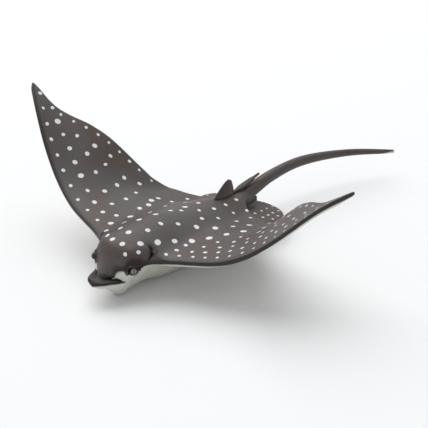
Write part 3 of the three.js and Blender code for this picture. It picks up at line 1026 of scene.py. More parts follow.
@dataclass(frozen=True)
class WingRow:
    """A row of spots on a wing, that runs along its front or its rear rim."""

    stations: Pair  # first and last spot, along the rim
    insets: Triple  # in from the rim at the first, middle and last spot
    count: int
    size: float
    spread: float = 1.0  # above 1 the gaps grow towards the tip
    rear: bool = False
    taper: float = 1.0  # size of the last spot beside the first

    def places(self) -> Iterator[Triple]:
        """Each spot's station along the rim, its inset and its size."""
        first, middle, last = self.insets
        for share in np.linspace(0, 1, self.count):
            bow = first * (1 - share) * (1 - 2 * share) + last * share * (2 * share - 1)
            inset = bow + 4 * middle * share * (1 - share)
            size = self.size * between(1, self.taper, share)
            yield between(*self.stations, share**self.spread), inset, size


@dataclass(frozen=True)
class BackRow:
    """A row of spots over the head or trunk, along a smooth path seen from above."""

    path: Rows  # x and y
    count: int
    size: float

    def places(self) -> Iterator[Pair]:
        """Each spot's x and y, at even steps along the path."""
        points = np.array(self.path, float)
        steps = running(np.hypot(*np.diff(points, axis=0).T))
        yield from through(steps, points)(np.linspace(0, steps[-1], self.count))


@dataclass(frozen=True)
class Spot:
    """One painted spot: its middle, the two ways across it, and its radii along them."""

    middle: Array
    normal: Array
    ways: Array
    radii: Pair
    seed: float


FAR_WING = (
    WingRow((6.9, 85.3), (3.7, 3.8, 3.5), 11, 0.88),
    WingRow((11.3, 78.7), (7.8, 9.8, 7.8), 10, 1.18),
    WingRow((14.4, 73), (12.6, 17, 11.7), 7, 1.05, spread=1.1),
    WingRow((13.5, 55.3), (21, 23, 20.5), 5, 1.08),
    WingRow((15.9, 48.9), (28.5, 28.5, 26), 4, 1.1),
    WingRow((20.3, 34.7), (36, 35.5, 34), 2, 1.05),
    WingRow((6.6, 65), (2.4, 2.6, 2.4), 11, 0.78, rear=True),
)
NEAR_WING = (
    WingRow((6.7, 85), (3.6, 3.7, 3.2), 16, 0.72, taper=0.75),
    WingRow((9.4, 80), (7.4, 8.6, 7), 14, 0.85, taper=0.75),
    WingRow((11.5, 74), (12.2, 13.6, 10.6), 11, 0.9, taper=0.75),
    WingRow((14, 63), (17, 18.6, 15), 8, 0.92, taper=0.8),
    WingRow((20, 56), (22.5, 24, 20), 5, 1.0, taper=0.8),
    WingRow((14.8, 50), (28, 29.5, 27), 4, 1.1),
    WingRow((19.8, 36), (35, 35.5, 34), 2, 1.05),
    WingRow((6.6, 65), (2.4, 2.6, 2.4), 11, 0.7, rear=True),
)
BACK = (
    BackRow(((2.5, 0.7), (7.5, 5.1), (11.6, 16), (17, 25.5), (27.3, 42.9)), 8, 1.42),
    BackRow(((0, 6.8), (4.2, 12.5), (4.4, 20), (10.7, 32.2), (18.5, 43.6), (22, 53)), 8, 1.25),
    BackRow(((8.5, 39.8), (10.7, 48.1), (14.7, 54.5), (15.5, 62)), 4, 1.0),
    BackRow(((0.5, 37), (4.6, 47), (3.8, 67)), 5, 0.95),
    BackRow(((-6.3, 9.1), (-4.1, 16.1), (-2.1, 31.5), (-2, 50)), 6, 1.22),
    BackRow(((-11.8, 17), (-16.8, 27.3), (-19.6, 41.4)), 4, 1.3),
    BackRow(((-9.4, 29.4), (-10.6, 39.1), (-9.3, 50.5)), 3, 1.05),
    BackRow(((-3, 1), (-7.4, 2.8)), 2, 1.2),
    BackRow(((6, -1.5), (9.4, 2.2)), 2, 0.84),
    BackRow(((-15, 10.1), (-17.9, 15.8)), 2, 1.15),
    BackRow(((-15.2, 48.7), (-14.6, 58)), 2, 0.95),
    BackRow(((9.3, 58.5), (9.8, 66.7)), 2, 0.8),
)
PELVIC = (
    BackRow(((10, 72), (8, 86)), 4, 0.66),
    BackRow(((14.2, 71.5), (12.6, 84)), 4, 0.64),
    BackRow(((17.4, 74), (16.4, 79)), 2, 0.56),
)


@dataclass(frozen=True)
class SpotPainter:
    """Lays the spots' rows on the skin and marks the faces that each one covers."""

    loft: BodyLoft
    seed: int = 11
    scale: float = 0.88
    jitter: float = 0.25
    size_jitter: float = 0.14
    oval: float = 0.12
    march: float = 0.4
    rim_skip: float = 0.5  # the walk over a wing starts this far in from its rim
    wing_heart: Pair = (30, 32)  # well inside the left wing, seen from above
    drop_z: float = 90
    facing: float = 0.2  # how alike a face and a spot have to be turned
    reach: float = 4  # in spot radii; no spot is stored beyond it
    clearance: float = 3.7
    clearance_back: float = 2.5
    size_steps: Pair = (1.08, 0.88)  # in turn, along the rows of larger spots

    def rim(self) -> tuple[Array, Array]:
        """Points along the left wing's front rim in space, and along its rear rim."""
        points, stops = self.loft.rim(2400)
        line = self.loft.outline
        front = points[(stops >= line.wing_from) & (stops <= line.tip_at)]
        rear = points[(stops >= line.tip_at) & (stops <= line.wing_to)]
        return front, rear

    def drop(self, tree: BVHTree, x: float, y: float) -> tuple[Array, Array] | None:
        """The skin's place and normal straight under a point, seen from above."""
        start = Vector(to_frame((x, y, self.drop_z)))
        place, normal, _, _ = tree.ray_cast(start, Vector((0, 0, -1)))
        return None if place is None else (from_frame(place), np.array(normal))

    def inward(
        self, tree: BVHTree, rim: Array, side: Side, station: float, inset: float
    ) -> tuple[Array, Array] | None:
        """Walks over the wing's top from its rim, square to it, for a length.

        Args:
            tree: the skin's faces.
            rim: points along the left wing's rim.
            side: the wing.
            station: how far along the rim the walk starts.
            inset: the walk's length over the skin.

        Returns:
            The place and the normal where the walk ends, or None off the skin.
        """
        along = running(np.linalg.norm(np.diff(rim, axis=0), axis=1))
        i = int(np.clip(np.searchsorted(along, station), 1, len(rim) - 2))
        heading = rim[i + 1, :2] - rim[i - 1, :2]
        square = np.array((-heading[1], heading[0])) / np.hypot(*heading)
        if np.dot(square, self.wing_heart - rim[i, :2]) < 0:
            square = -square
        last, walked, reach, found = None, self.rim_skip, self.rim_skip, None
        while walked < inset:
            x, y = rim[i, :2] + square * reach
            found = self.drop(tree, x * side.value, y)
            if found is None:
                return None
            walked += 0 if last is None else float(np.linalg.norm(found[0] - last))
            last, reach = found[0], reach + self.march
        return found

    def spot(
        self, found: tuple[Array, Array], size: float, dice: np.random.Generator
    ) -> Spot:
        """A slightly oval spot at a place on the skin."""
        place, normal = found
        angle = dice.uniform(0, np.pi)
        across = np.cross(normal, (math.cos(angle), math.sin(angle), 0.0))
        across = across / np.linalg.norm(across)
        size = self.scale * size * (1 + dice.uniform(-1, 1) * self.size_jitter)
        oval = 1 + dice.uniform(0, 1) * self.oval
        ways = np.array((across, np.cross(normal, across)))
        return Spot(place, normal, ways, (size * oval, size / oval), dice.uniform(0, 50))

    def spots(self, skin: Piece) -> list[Spot]:
        """Every spot on the skin."""
        dice = np.random.default_rng(self.seed)
        tree = BVHTree.FromObject(skin, bpy.context.evaluated_depsgraph_get())
        front, rear = self.rim()
        made = []

        def add(found: tuple[Array, Array] | None, size: float, clear: float) -> None:
            if found is None:
                return
            apart = [np.linalg.norm(found[0] - other.middle) for other in made]
            if not apart or min(apart) > clear:
                made.append(self.spot(found, size, dice))

        fans = [(row, side.value) for row in PELVIC for side in Side]
        for row, sign in [(row, 1) for row in BACK] + fans:
            for x, y in row.places():
                shift = dice.uniform(-self.jitter, self.jitter, 2) * 0.5
                found = self.drop(tree, (x + shift[0]) * sign, y + shift[1])
                add(found, row.size, self.clearance_back)
        for side, rows in ((Side.LEFT, NEAR_WING), (Side.RIGHT, FAR_WING)):
            for row in rows:
                for i, (station, inset, size) in enumerate(row.places()):
                    shift = dice.uniform(-self.jitter, self.jitter, 2) * (1, 0.6)
                    rim = rear if row.rear else front
                    found = self.inward(tree, rim, side, station + shift[0], inset + shift[1])
                    size = size * (1 if row.size < 1 else self.size_steps[i % 2])
                    add(found, size, self.clearance)
        log.info("painted %d spots", len(made))
        return made

    def dress(self, skin: Piece) -> None:
        """Stores at each face corner its place across the nearest spot, 1 on the spot's edge."""
        mesh = skin.data
        points, middles, normals = Points.read(mesh), *Points.faces(mesh)
        spots = self.spots(skin)
        nearest = np.full(len(middles), np.inf)
        owner = np.zeros(len(middles), int)
        for i, spot in enumerate(spots):
            apart = np.linalg.norm(middles - spot.middle, axis=1) / min(spot.radii)
            closer = (apart < nearest) & (normals @ spot.normal > self.facing)
            nearest[closer], owner[closer] = apart[closer], i
        corners, faces = Points.corners(mesh)

        def each(name: str) -> Array:
            return np.array([getattr(spot, name) for spot in spots])[owner[faces]]

        across = np.einsum("ikj,ij->ik", each("ways"), points[corners] - each("middle"))
        across = across / each("radii")
        across[nearest[faces] > self.reach] = FAR_OFF
        Points.label(mesh, "spot", "CORNER", np.column_stack((across, each("seed"))))


# ---- the paint


@dataclass(frozen=True)
class PaintPlan:
    """Where the dark back ends over the white underside, and where the paint darkens."""

    skin: "Skin"
    below_rim: Pair = (0.4, 1.0)  # at the wing's root and at its tip
    head_border: Curve = curve(
        (-9, 9.3), (-6.8, 10.4), (-5.6, 12.6), (-4, 13.5), (-2.5, 13.7), (2.5, 13.7), (5, 14.9),
        (7, 15.4))
    tail_dark_y: float = 73
    tail_border_z: float = 12.6
    far_head_lift: float = 1.2  # how much lower the white ends on the head's far side
    wing_from: tuple[Pair, Pair] = ((11.5, 16), (5, 8))  # over x or over y, the head's rule ends
    tail_from: Pair = (64, 74)
    tail_within: Pair = (7, 11)
    fan_near: Pair = (0.3, 1.4)  # how far from a fan's circle and surface its rule reaches
    fan_border: float = 0.15
    brink_dark: float = 0.8  # over the white's border, beside the head
    lobe_dark: float = 0.9
    fin_dark: Pair = (0.6, 0.4)  # at the fin's root and at its tip
    tail_dark: float = 0.25
    # painted shade on the lobe beside the tail's root
    flap_painted_shade: float = 0.8
    crown_dark: float = 0.26

    def above_white(self, points: Array) -> Array:
        """How far each point lies above the white's upper border; negative is white."""
        x, y, z = fold(points).T
        form = self.skin.loft.form
        below = between(*self.below_rim, smoothstep(24, 50, x))
        wing = z - form.wing_middle(x, y) + below
        head = z - self.head_border(y) + self.far_head_lift * smoothstep(0, -5, points[:, 0])
        shelf = smoothstep(-0.5, 0.3, x - form.forehead_foot(y)) * fade(-4, -2.6, y)
        head = between(head, 1.5 * (z - form.head_edge(y) + 0.2), shelf)
        tail = z - self.tail_border_z + 2 * np.maximum(0, y - self.tail_dark_y)
        outward, rearward = self.wing_from
        winged = np.maximum(smoothstep(*outward, x), smoothstep(*rearward, y))
        above = between(head, 2 * wing, winged)
        above = between(above, tail, smoothstep(*self.tail_from, y) * fade(*self.tail_within, x))
        fan, (round_it, over_it) = PelvicFin(Side.LEFT), self.fan_near
        over_fan = z - fan.height(x, y)
        on_fan = np.hypot(x - fan.x, y - fan.y) < fan.radius + round_it
        return np.where(on_fan & (np.abs(over_fan) < over_it), over_fan + self.fan_border, above)

    def rim_distance(self, points: Array) -> Array:
        """Each point's distance from the wings' front rims."""
        front, _ = SpotPainter(self.skin.loft).rim()
        return np.array([*map(finder(front), fold(points))])

    def shade(self, points: Array, above: Array) -> Array:
        """How much darker than the back each point is airbrushed, from 0 to 1; beside the tail's
        root this is painted shade.
        """
        x, y, z = fold(points).T
        form = self.skin.loft.form
        brink = self.brink_dark * fade(0.4, 3.6, above) * (above > 0) * fade(5, 9, y)
        over_lobe = z - form.lobe_top(y)
        lobe = self.lobe_dark * fade(-5.6, -3.6, y) * fade(0.6, 2.6, over_lobe)
        root_dark, tip_dark = self.fin_dark
        fin = root_dark * bump(np.hypot(x / 2.2, (y - 64) / 7), 1) * fade(17, 21, z)
        fin = np.maximum(fin, tip_dark * smoothstep(18.5, 20, z) * (y > 54) * (x < 4))
        tail = self.tail_dark * smoothstep(70, 80, y) * smoothstep(10.5, 12.5, z)
        # painted shade on the lobe beside the tail's root and round it
        flap_shade = self.flap_painted_shade * bump((x - 5.6) / 2.6, 1) * smoothstep(65, 70, y)
        flap_shade = flap_shade * smoothstep(11, 12.2, z)
        flap_shade = flap_shade * fade(13.7, 14.6, z)
        crown = self.crown_dark * fade(3, 12, y) * smoothstep(15, 19, z)
        return np.max([brink, lobe, fin, tail, flap_shade, crown], axis=0)

    def dress(self, skin: Piece) -> None:
        """Stores the paint's measures at the skin's points."""
        points = Points.read(skin.data)
        above = self.above_white(points)
        values = (above, self.rim_distance(points), self.shade(points, above))
        Points.label(skin.data, "paint", "POINT", np.column_stack(values))
        # dark paint round the eyes, and painted shade inside the spiracles and the snout's slit
        ink_and_shade = np.max([detail.dark(points) for detail in self.skin.details], axis=0)
        Points.label(skin.data, "ink_and_shade", "POINT", np.column_stack((ink_and_shade, ink_and_shade, ink_and_shade)))


# ---- the materials


def paint(red: float, green: float, blue: float) -> Colour:
    """A colour as it looks on screen, 0 to 255, in the shaders' linear numbers."""
    shares = (channel / 255 for channel in (red, green, blue))
    lit = (s / 12.92 if s <= 0.04045 else ((s + 0.055) / 1.055) ** 2.4 for s in shares)
    return (*lit, 1.0)


class Wire:
    """A number that leaves a node, with arithmetic."""

    def __init__(self, desk: "Desk", socket: bpy.types.NodeSocket) -> None:
        """Remembers the socket and the desk it is on."""
        self.desk, self.socket = desk, socket

    def maths(self, operation: str, *others: "Wire | float") -> "Wire":
        """The result of one Math node on this number and the others."""
        values = dict(enumerate((self, *others)))
        return self.desk.node("ShaderNodeMath", {"operation": operation}, values)

    def __add__(self, other: "Wire | float") -> "Wire":
        """The sum."""
        return self.maths("ADD", other)

    def __sub__(self, other: "Wire | float") -> "Wire":
        """The difference."""
        return self.maths("SUBTRACT", other)

    def __mul__(self, other: "Wire | float") -> "Wire":
        """The product."""
        return self.maths("MULTIPLY", other)

    def __truediv__(self, other: "Wire | float") -> "Wire":
        """The quotient."""
        return self.maths("DIVIDE", other)

    __radd__, __rmul__ = __add__, __mul__

    def step(self, start: float, end: float) -> "Wire":
        """Eases from 0 at start to 1 at end; start may be the higher."""
        falling = start > end
        settings = {"interpolation_type": "SMOOTHSTEP"}
        inputs = {0: self, 1: min(start, end), 2: max(start, end)}
        inputs.update({3: 1.0, 4: 0.0} if falling else {3: 0.0, 4: 1.0})
        return self.desk.node("ShaderNodeMapRange", settings, inputs)

    def hill(self, middle: float, width: float) -> "Wire":
        """1 at the middle, easing to 0 a width away on both sides."""
        return (self - middle).maths("ABSOLUTE").step(width, 0)


class Desk:
    """Lays the nodes of one material."""

    def __init__(self, name: str, **shader: object) -> None:
        """Makes the material and sets its shader's constants by their socket names."""
        self.material = bpy.data.materials.new(name)
        self.material.use_nodes = True
        self.tree = self.material.node_tree
        self.shader = self.tree.nodes["Principled BSDF"]
        for socket, value in shader.items():
            self.shader.inputs[socket.replace("_", " ")].default_value = value

    def node(
        self, kind: str, settings: dict[str, object], inputs: dict[int | str, object],
        output: int | str = 0,
    ) -> Wire:
        """Adds a node.

        Args:
            kind: the node's type.
            settings: its properties, set first because they change its sockets.
            inputs: a value or a wire for each input, by its number or name.
            output: the output that is handed back.

        Returns:
            The output as a wire.
        """
        made = self.tree.nodes.new(kind)
        for name, value in settings.items():
            setattr(made, name, value)
        for key, value in inputs.items():
            if isinstance(value, Wire):
                self.tree.links.new(value.socket, made.inputs[key])
            else:
                made.inputs[key].default_value = value
        return Wire(self, made.outputs[output])

    def mix(self, first: object, second: object, share: "Wire | float") -> Wire:
        """A colour between two, by a share from 0 to 1."""
        settings = {"data_type": "RGBA"}
        return self.node("ShaderNodeMix", settings, {0: share, 6: first, 7: second}, output=2)

    def tint(self, colour: Wire, factor: "Wire | float") -> Wire:
        """A colour made lighter or darker by a factor."""
        scaled = {"operation": "SCALE"}
        return self.node("ShaderNodeVectorMath", scaled, {0: colour, "Scale": factor})

    def measures(self, name: str) -> tuple[Wire, Wire, Wire]:
        """The three numbers stored on the mesh under a name."""
        stored = self.node("ShaderNodeAttribute", {"attribute_name": name}, {}, output="Vector")
        return tuple(
            self.node("ShaderNodeSeparateXYZ", {}, {0: stored}, output=k) for k in range(3))

    def noise(self, grain: float, detail: float = 2, shift: float = 0) -> Wire:
        """Soft noise from 0 to 1.

        Args:
            grain: the size of its patches in millimetres.
            detail: how much finer noise is added.
            shift: moves the pattern, so that two of the same grain differ.

        Returns:
            The noise as a wire.
        """
        place = self.node("ShaderNodeTexCoord", {}, {}, output="Object")
        moved = self.node("ShaderNodeVectorMath", {"operation": "ADD"}, {0: place, 1: (shift,) * 3})
        inputs = {"Vector": moved, "Scale": 1 / (grain * MM), "Detail": detail}
        return self.node("ShaderNodeTexNoise", {"noise_dimensions": "3D"}, inputs)

    def finish(self, **feeds: Wire) -> bpy.types.Material:
        """Joins wires to the shader's sockets, with a bump from `height` in millimetres."""
        height = feeds.pop("height", None)
        if height is not None:
            inputs = {"Height": height, "Distance": MM, "Strength": 1.0}
            feeds["Normal"] = self.node("ShaderNodeBump", {}, inputs)
        for socket, wire in feeds.items():
            self.tree.links.new(wire.socket, self.shader.inputs[socket.replace("_", " ")])
        return self.material


@dataclass(frozen=True)
class SkinFinish:
    """Airbrushed semi-matt paint over soft plastic: dark spotted back, white underside."""

    brown: Colour = paint(76, 65, 60)
    grey: Colour = paint(76, 71, 70)
    deep: Colour = paint(30, 20, 18)
    black: Colour = paint(9, 7, 7)
    rim: Colour = paint(44, 38, 37)
    white: Colour = paint(202, 201, 193)
    spot: Colour = paint(214, 215, 217)
    rim_band: float = 1.6
    groove: float = 0.08

    def build(self) -> bpy.types.Material:
        """Lays the patches, the dark places and painted shade, the rim band, the spots and the
        white.
        """
        desk = Desk("ray_paint", IOR=1.41)
        above, rim, dark = desk.measures("paint")
        across, along, seed = desk.measures("spot")
        patches = desk.noise(17, 1).step(0.4, 0.6)
        back = desk.mix(self.brown, self.grey, patches)
        mottle = 0.86 + 0.28 * desk.noise(6, 3, shift=3)
        back = desk.tint(back, mottle)
        deep = (dark + 0.16 * (desk.noise(2.2, 2, shift=5) - 0.5)).step(0.05, 1)
        back = desk.mix(back, self.deep, deep)
        band = rim + 0.5 * (desk.noise(5, 1, shift=7) - 0.5)
        band = band.step(self.rim_band + 0.5, self.rim_band - 0.5)
        back = desk.mix(back, self.rim, band * above.step(-0.6, 0))
        wobble = 0.16 * (desk.noise(1.1, 1, shift=9) - 0.5)
        level = (across * across + along * along).maths("SQRT") + wobble
        dot = level.step(1.06, 0.92) * above.step(0.1, 0.3)
        back = desk.mix(back, self.spot, dot)
        edge = above + 0.4 * (desk.noise(3.5, 2, shift=13) - 0.5)
        under = edge.step(0.5, -0.6)
        colour = desk.mix(back, self.white, under)
        worn = 0.96 + 0.08 * desk.noise(3, 3, shift=15)
        colour = desk.tint(colour, worn)
        # the stored ink measure: dark paint round the eyes, and painted shade in the spiracles and
        # the snout's slit
        ink_and_shade, _, _ = desk.measures("ink_and_shade")
        colour = desk.mix(colour, self.deep, ink_and_shade.step(0.05, 0.6))
        colour = desk.mix(colour, self.black, ink_and_shade.step(0.6, 0.95))
        rough = 0.42 + 0.12 * desk.noise(4, 3, shift=17) + 0.06 * dot
        grain = 0.012 * desk.noise(0.35, 2, shift=19)
        groove = self.groove * rim.hill(self.rim_band + 0.35, 0.35) * above.step(0, 0.5)
        height = grain - groove + 0.015 * dot
        return desk.finish(Base_Color=colour, Roughness=rough, height=height)


@dataclass(frozen=True)
class EyeFinish:
    """Glossy painted eye: black rim, pale iris and an upright pupil."""

    rim: Colour = paint(22, 20, 20)
    iris: Colour = paint(146, 140, 130)
    iris_edge: Colour = paint(96, 90, 84)
    pupil: Colour = paint(12, 11, 12)
    pupil_half: Pair = (0.16, 0.62)  # along and above the eye's middle

    def build(self) -> bpy.types.Material:
        """Paints rings by the stored place across the eye."""
        desk = Desk("eye_paint", IOR=1.5, Coat_Roughness=0.04, Coat_Weight=0.5)
        along, above, _ = desk.measures("gaze")
        level = (along * along + above * above).maths("SQRT")
        fleck = 0.1 * (desk.noise(0.25, 2) - 0.5)
        iris = desk.mix(self.iris, self.iris_edge, (level + fleck).step(0.3, 0.52))
        wide, high = self.pupil_half
        slit = (along / wide).maths("ABSOLUTE") + (above / high) * (above / high)
        iris = desk.mix(iris, self.pupil, (slit + fleck).step(1.15, 0.85))
        colour = desk.mix(iris, self.rim, (level + fleck * 0.5).step(0.5, 0.58))
        rough = 0.14 + 0.06 * desk.noise(0.6, 2, shift=3)
        return desk.finish(Base_Color=colour, Roughness=rough)


# ---- the skin


@dataclass(frozen=True)
class Skin:
    """The figure's one moulded skin: head, trunk, wings, fins and tail without a seam."""

    loft: BodyLoft
    tail: TailForm = TailForm()
    tail_start: float = 77.2
    dorsal: DorsalFin = DorsalFin()
    seam_reach: float = 1.3
    seam_rounds: int = 14
    seam_weight: float = 0.7
    beak_rounds: int = 5
    beak_weight: float = 0.6
    beak_span: tuple[Pair, Pair] = ((-4.5, -3), (8.6, 9.6))  # over y and over z
    slit_rounds: int = 3
    slit_weight: float = 0.5
    slit_span: Pair = (1.2, 2.2)
    weld: float = 1e-7  # a point further than this from all old ones is on the seam
    details: tuple[Detail, ...] = (
        EyeSocket(Side.LEFT), EyeSocket(Side.RIGHT), Spiracle(Side.LEFT), Spiracle(Side.RIGHT),
        SnoutGroove(), GillSlits(Side.LEFT), GillSlits(Side.RIGHT), Mouth())

    def dress(self, skin: Piece) -> None:
        """Marks the spots and the paint's borders, and paints the skin."""
        SpotPainter(self.loft).dress(skin)
        PaintPlan(self).dress(skin)
        skin.data.materials.clear()
        skin.data.materials.append(SkinFinish().build())

    def build(self) -> Piece:
        """Lofts the body and tail, shapes the details, and grows the fins on."""
        lofter = Lofter()
        for ring in (*map(self.loft.ring, self.loft.stops()), *self.tail.rings(self.tail_start)):
            lofter.add(ring)
        skin = lofter.piece("ray_skin")
        log.info("lofted skin: %d faces", len(skin.data.polygons))
        self.shape(skin)
        for fin in (self.dorsal, *map(PelvicFin, Side), *map(RootFlap, Side)):
            self.grow(skin, fin.build())
        self.fit(skin)
        skin.data.polygons.foreach_set("use_smooth", [True] * len(skin.data.polygons))
        return skin

    def shape(self, skin: Piece) -> None:
        """Lays the skin finer round the small details, then shapes them."""
        mesh = skin.data
        Points.refine(mesh, lambda at: np.any([d.near(at) for d in self.details], axis=0))
        points = Points.read(mesh)
        rearward, upward = self.beak_span
        beak = self.beak_weight * fade(*rearward, points[:, 1]) * smoothstep(*upward, points[:, 2])
        Points.smooth(mesh, beak, self.beak_rounds)
        points, normals = Points.read(mesh), Points.normals(mesh)
        for detail in self.details:
            points = points + detail.shift(points, normals)
        points[:, 2] = np.maximum(points[:, 2], 0)
        Points.write(mesh, points)
        slit = self.slit_weight * fade(*self.slit_span, SnoutGroove().nearest(points)[0])
        Points.smooth(mesh, slit, self.slit_rounds)

    def grow(self, skin: Piece, fin: Piece) -> None:
        """Joins a fin to the skin and rounds the seam between them into a fillet."""
        old = finder([v.co for v in (*skin.data.vertices, *fin.data.vertices)])
        Bench.finish(skin, "BOOLEAN", operation="UNION", solver="MANIFOLD", object=fin)
        bpy.data.objects.remove(fin)
        new = [v.co.copy() for v in skin.data.vertices if old(v.co) > self.weld]
        seam = finder(new)

        def apart(points: Array) -> Array:
            return np.array([seam(Vector(p)) / MM for p in to_frame(points)])

        Points.refine(skin.data, lambda at: apart(at) < self.seam_reach)
        weight = fade(0.1, self.seam_reach, apart(Points.read(skin.data)))
        weight = self.seam_weight * weight
        Points.smooth(skin.data, weight, self.seam_rounds)
        log.info("grown a fin on: %d seam points, %d faces", len(new), len(skin.data.polygons))

    def fit(self, skin: Piece) -> None:
        """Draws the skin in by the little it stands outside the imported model's box."""
        points = Points.read(skin.data)
        low, high = from_frame(CAD_BOX[0]), from_frame(CAD_BOX[1])
        own_low, own_high = points.min(axis=0), points.max(axis=0)
        share = (points - own_low) / (own_high - own_low)
        points = between(np.maximum(own_low, low), np.minimum(own_high, high), share)
        Points.write(skin.data, points)


# ---- eyes and barb


@dataclass(frozen=True)
class Eye:
    """A painted eye: a flattened ball whose pole looks out of its socket."""

    socket: EyeSocket
    depth: float = 1.05
    sides: int = 64
    iris: float = 0.62
    iris_step: Pair = (0.03, 0.06)  # width and height
    aim: Pair = (-0.3, 0.28)  # where the iris sits, forwards and up

    def build(self) -> Piece:
        """Shapes the ball in its socket, with a low step round the iris."""
        side, socket = self.socket.side, self.socket
        turn = (0, math.pi / 2 * side.value, socket.turn * side.value)
        place = to_frame(np.array(socket.place) * (side.value, 1, 1))
        bpy.ops.mesh.primitive_uv_sphere_add(
            segments=self.sides, ring_count=self.sides // 2, radius=MM, location=place,
            rotation=turn)
        eye = bpy.context.object
        eye.name = f"eye_ball_{side.name.lower()}"
        eye.scale = (socket.half_height, socket.half_length, self.depth)
        with Bench.editing(eye):
            Bench.pick(eye, lambda middle, normal: middle.z > MM * math.cos(math.asin(self.iris)))
            width, height = self.iris_step
            bpy.ops.mesh.inset(thickness=width * MM, depth=height * MM)
        Bench.settle(eye)
        Bench.hold(eye)
        bpy.ops.object.shade_smooth()
        return eye

    def dress(self, eye: Piece) -> None:
        """Stores each point's place across the eye, and paints it."""
        along, above, out = self.socket.local(Points.read(eye.data))
        along = along / self.socket.half_length - self.aim[0] * (out > 0)
        above = above / self.socket.half_height - self.aim[1] * (out > 0)
        Points.label(eye.data, "gaze", "POINT", np.column_stack((along, above, out)))
        eye.data.materials.append(EyeFinish().build())


@dataclass(frozen=True)
class Barb:
    """The flat tapered spine that lies over the tail's root, free at its tip."""

    root: Pair = (69.6, 17.2)  # y, z
    tip: Pair = (86.8, 20.2)
    half_width: float = 1.35
    half_thick: float = 0.7
    stretches: int = 16
    taper: float = 0.72  # the share of the width that is lost by the tip
    thinning: float = 0.5
    root_taper: Pair = (0.5, 0.16)  # the share of the width lost at the root, and its reach
    notch: Triple = (0.8, 0.06, 0.3)  # place, reach and share of the width
    rounding: float = 0.26

    def size(self, share: float) -> Pair:
        """Width and thickness at a part of the length."""
        (place, reach, cut), (root_cut, root_reach) = self.notch, self.root_taper
        narrow = (1 - self.taper * share**2.6) * (1 - cut * float(bump(share - place, reach)))
        narrow = narrow * (1 - root_cut * float(bump(share, root_reach)))
        return 2 * self.half_width * narrow, 2 * self.half_thick * (1 - self.thinning * share)

    def build(self) -> Piece:
        """Draws a stub out in stretches that narrow to the notched tip, and rounds its edges."""
        root, tip = to_frame((0, *self.root)), to_frame((0, *self.tip))
        step = (tip - root) / self.stretches
        bpy.ops.mesh.primitive_cube_add(size=MM, location=root + step / 2)
        barb = bpy.context.object
        barb.name = "tail_barb"
        last = self.size(0)
        barb.scale = (last[0], step[1] / MM, last[1])
        Bench.settle(barb)
        with Bench.editing(barb):
            Bench.pick(barb, lambda middle, normal: normal.y > 0.9)
            for i in range(1, self.stretches):
                bpy.ops.mesh.extrude_region_move(TRANSFORM_OT_translate={"value": step})
                width, thick = self.size(i / (self.stretches - 1))
                bpy.ops.transform.resize(
                    value=(width / last[0], 1, thick / last[1]),
                    center_override=root + step * (i + 0.5))
                last = width, thick
        Bench.finish(
            barb, "BEVEL", width=self.rounding * MM, segments=3, limit_method="ANGLE",
            angle_limit=math.radians(50))
        Bench.hold(barb)
        bpy.ops.object.shade_smooth()
        return barb

    def dress(self, barb: Piece, material: bpy.types.Material) -> None:
        """Paints it like the skin's dark places, with no spot and no white."""
        count = len(barb.data.vertices)
        for name, values in (("paint", (5, 9, 0.75)), ("spot", (9, 9, 0)), ("ink_and_shade", (0, 0, 0))):
            Points.label(barb.data, name, "POINT", np.tile(values, (count, 1)))
        barb.data.materials.append(material)


# ---- studio and main


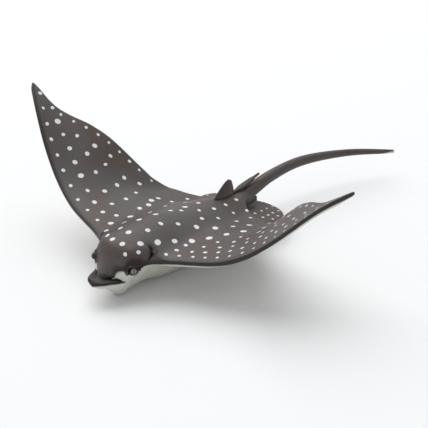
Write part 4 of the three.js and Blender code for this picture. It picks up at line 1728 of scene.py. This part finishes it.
@dataclass(frozen=True)
class Studio:
    """Plain pale floor, one soft light, an even sky and the camera."""

    azimuth: float = 40
    elevation: float = 26.5
    distance: float = 0.6
    aim: Triple = (0.01953, -0.03753, 0.02739)
    lens: float = 131.08
    sensor: float = 36
    key_place: Triple = (-1.3, 0.5, 2.6)
    key_size: float = 4.2
    key_power: float = 92
    sky: Colour = (0.965, 0.98, 1, 1)
    sky_strength: float = 0.62
    floor_size: float = 6
    floor_tone: float = 0.79

    def hang(self, name: str, data: bpy.types.ID, place: Vector, gaze: Vector) -> Piece:
        """Puts a camera or a light at a place, turned to look along its gaze."""
        made = bpy.data.objects.new(name, data)
        made.location = place
        made.rotation_mode = "QUATERNION"
        made.rotation_quaternion = gaze.to_track_quat("-Z", "Y")
        bpy.context.scene.collection.objects.link(made)
        return made

    def camera(self) -> None:
        """Places the camera, looking at its aim point."""
        turn, rise = math.radians(self.azimuth), math.radians(self.elevation)
        back = Vector((
            math.sin(turn) * math.cos(rise), -math.cos(turn) * math.cos(rise), math.sin(rise)))
        data = bpy.data.cameras.new("view")
        data.lens, data.sensor_width = self.lens, self.sensor
        data.clip_start, data.clip_end = 0.01, 20
        place = Vector(self.aim) + back * self.distance
        bpy.context.scene.camera = self.hang("view", data, place, -back)

    def floor(self) -> None:
        """Lays the floor."""
        bpy.ops.mesh.primitive_plane_add(size=self.floor_size, location=(0, 0, 0))
        floor = bpy.context.object
        floor.name = "studio_floor"
        tone = (*(self.floor_tone,) * 3, 1)
        floor.data.materials.append(Desk("floor_paper", Base_Color=tone, Roughness=0.9).material)
        floor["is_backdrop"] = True

    def light(self) -> None:
        """Hangs the one soft light, facing the figure."""
        data = bpy.data.lights.new("key", "AREA")
        data.shape, data.size, data.energy = "DISK", self.key_size, self.key_power
        self.hang("key", data, Vector(self.key_place), -Vector(self.key_place))

    def build(self) -> None:
        """Sets up the whole studio."""
        self.camera()
        self.floor()
        bpy.context.scene.view_settings.view_transform = "Standard"
        self.light()
        world = bpy.data.worlds.new("studio")
        bpy.context.scene.world = world
        world.use_nodes = True
        background = world.node_tree.nodes["Background"]
        background.inputs["Color"].default_value = self.sky
        background.inputs["Strength"].default_value = self.sky_strength


FLESH = tuple(
    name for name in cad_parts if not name.startswith("eye_") and name != "tail_spine")


def write_sizes() -> None:
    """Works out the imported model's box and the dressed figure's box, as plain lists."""
    boxes = {"cad": CAD_BOX, "visual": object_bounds()}
    plain = {name: [list(corner) for corner in box] for name, box in boxes.items()}


def main() -> None:
    """Builds the studio and every piece, in order."""
    logging.basicConfig(level=logging.INFO, format="%(message)s")
    Studio().build()
    loft = BodyLoft(BodyForm(), Outline())
    maker = Skin(loft)
    skin = maker.build()
    maker.dress(skin)
    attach(skin, "root")
    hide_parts(*FLESH)
    log.info("skin: %d faces", len(skin.data.polygons))
    for side in Side:
        socket = Eye(EyeSocket(side))
        eye = socket.build()
        socket.dress(eye)
        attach(eye, "root")
        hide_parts(f"eye_{side.name.lower()}")
    spine = Barb()
    barb = spine.build()
    spine.dress(barb, skin.data.materials[0])
    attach(barb, "root")
    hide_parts("tail_spine")
    write_sizes()


if __name__ == "__main__":
    main()
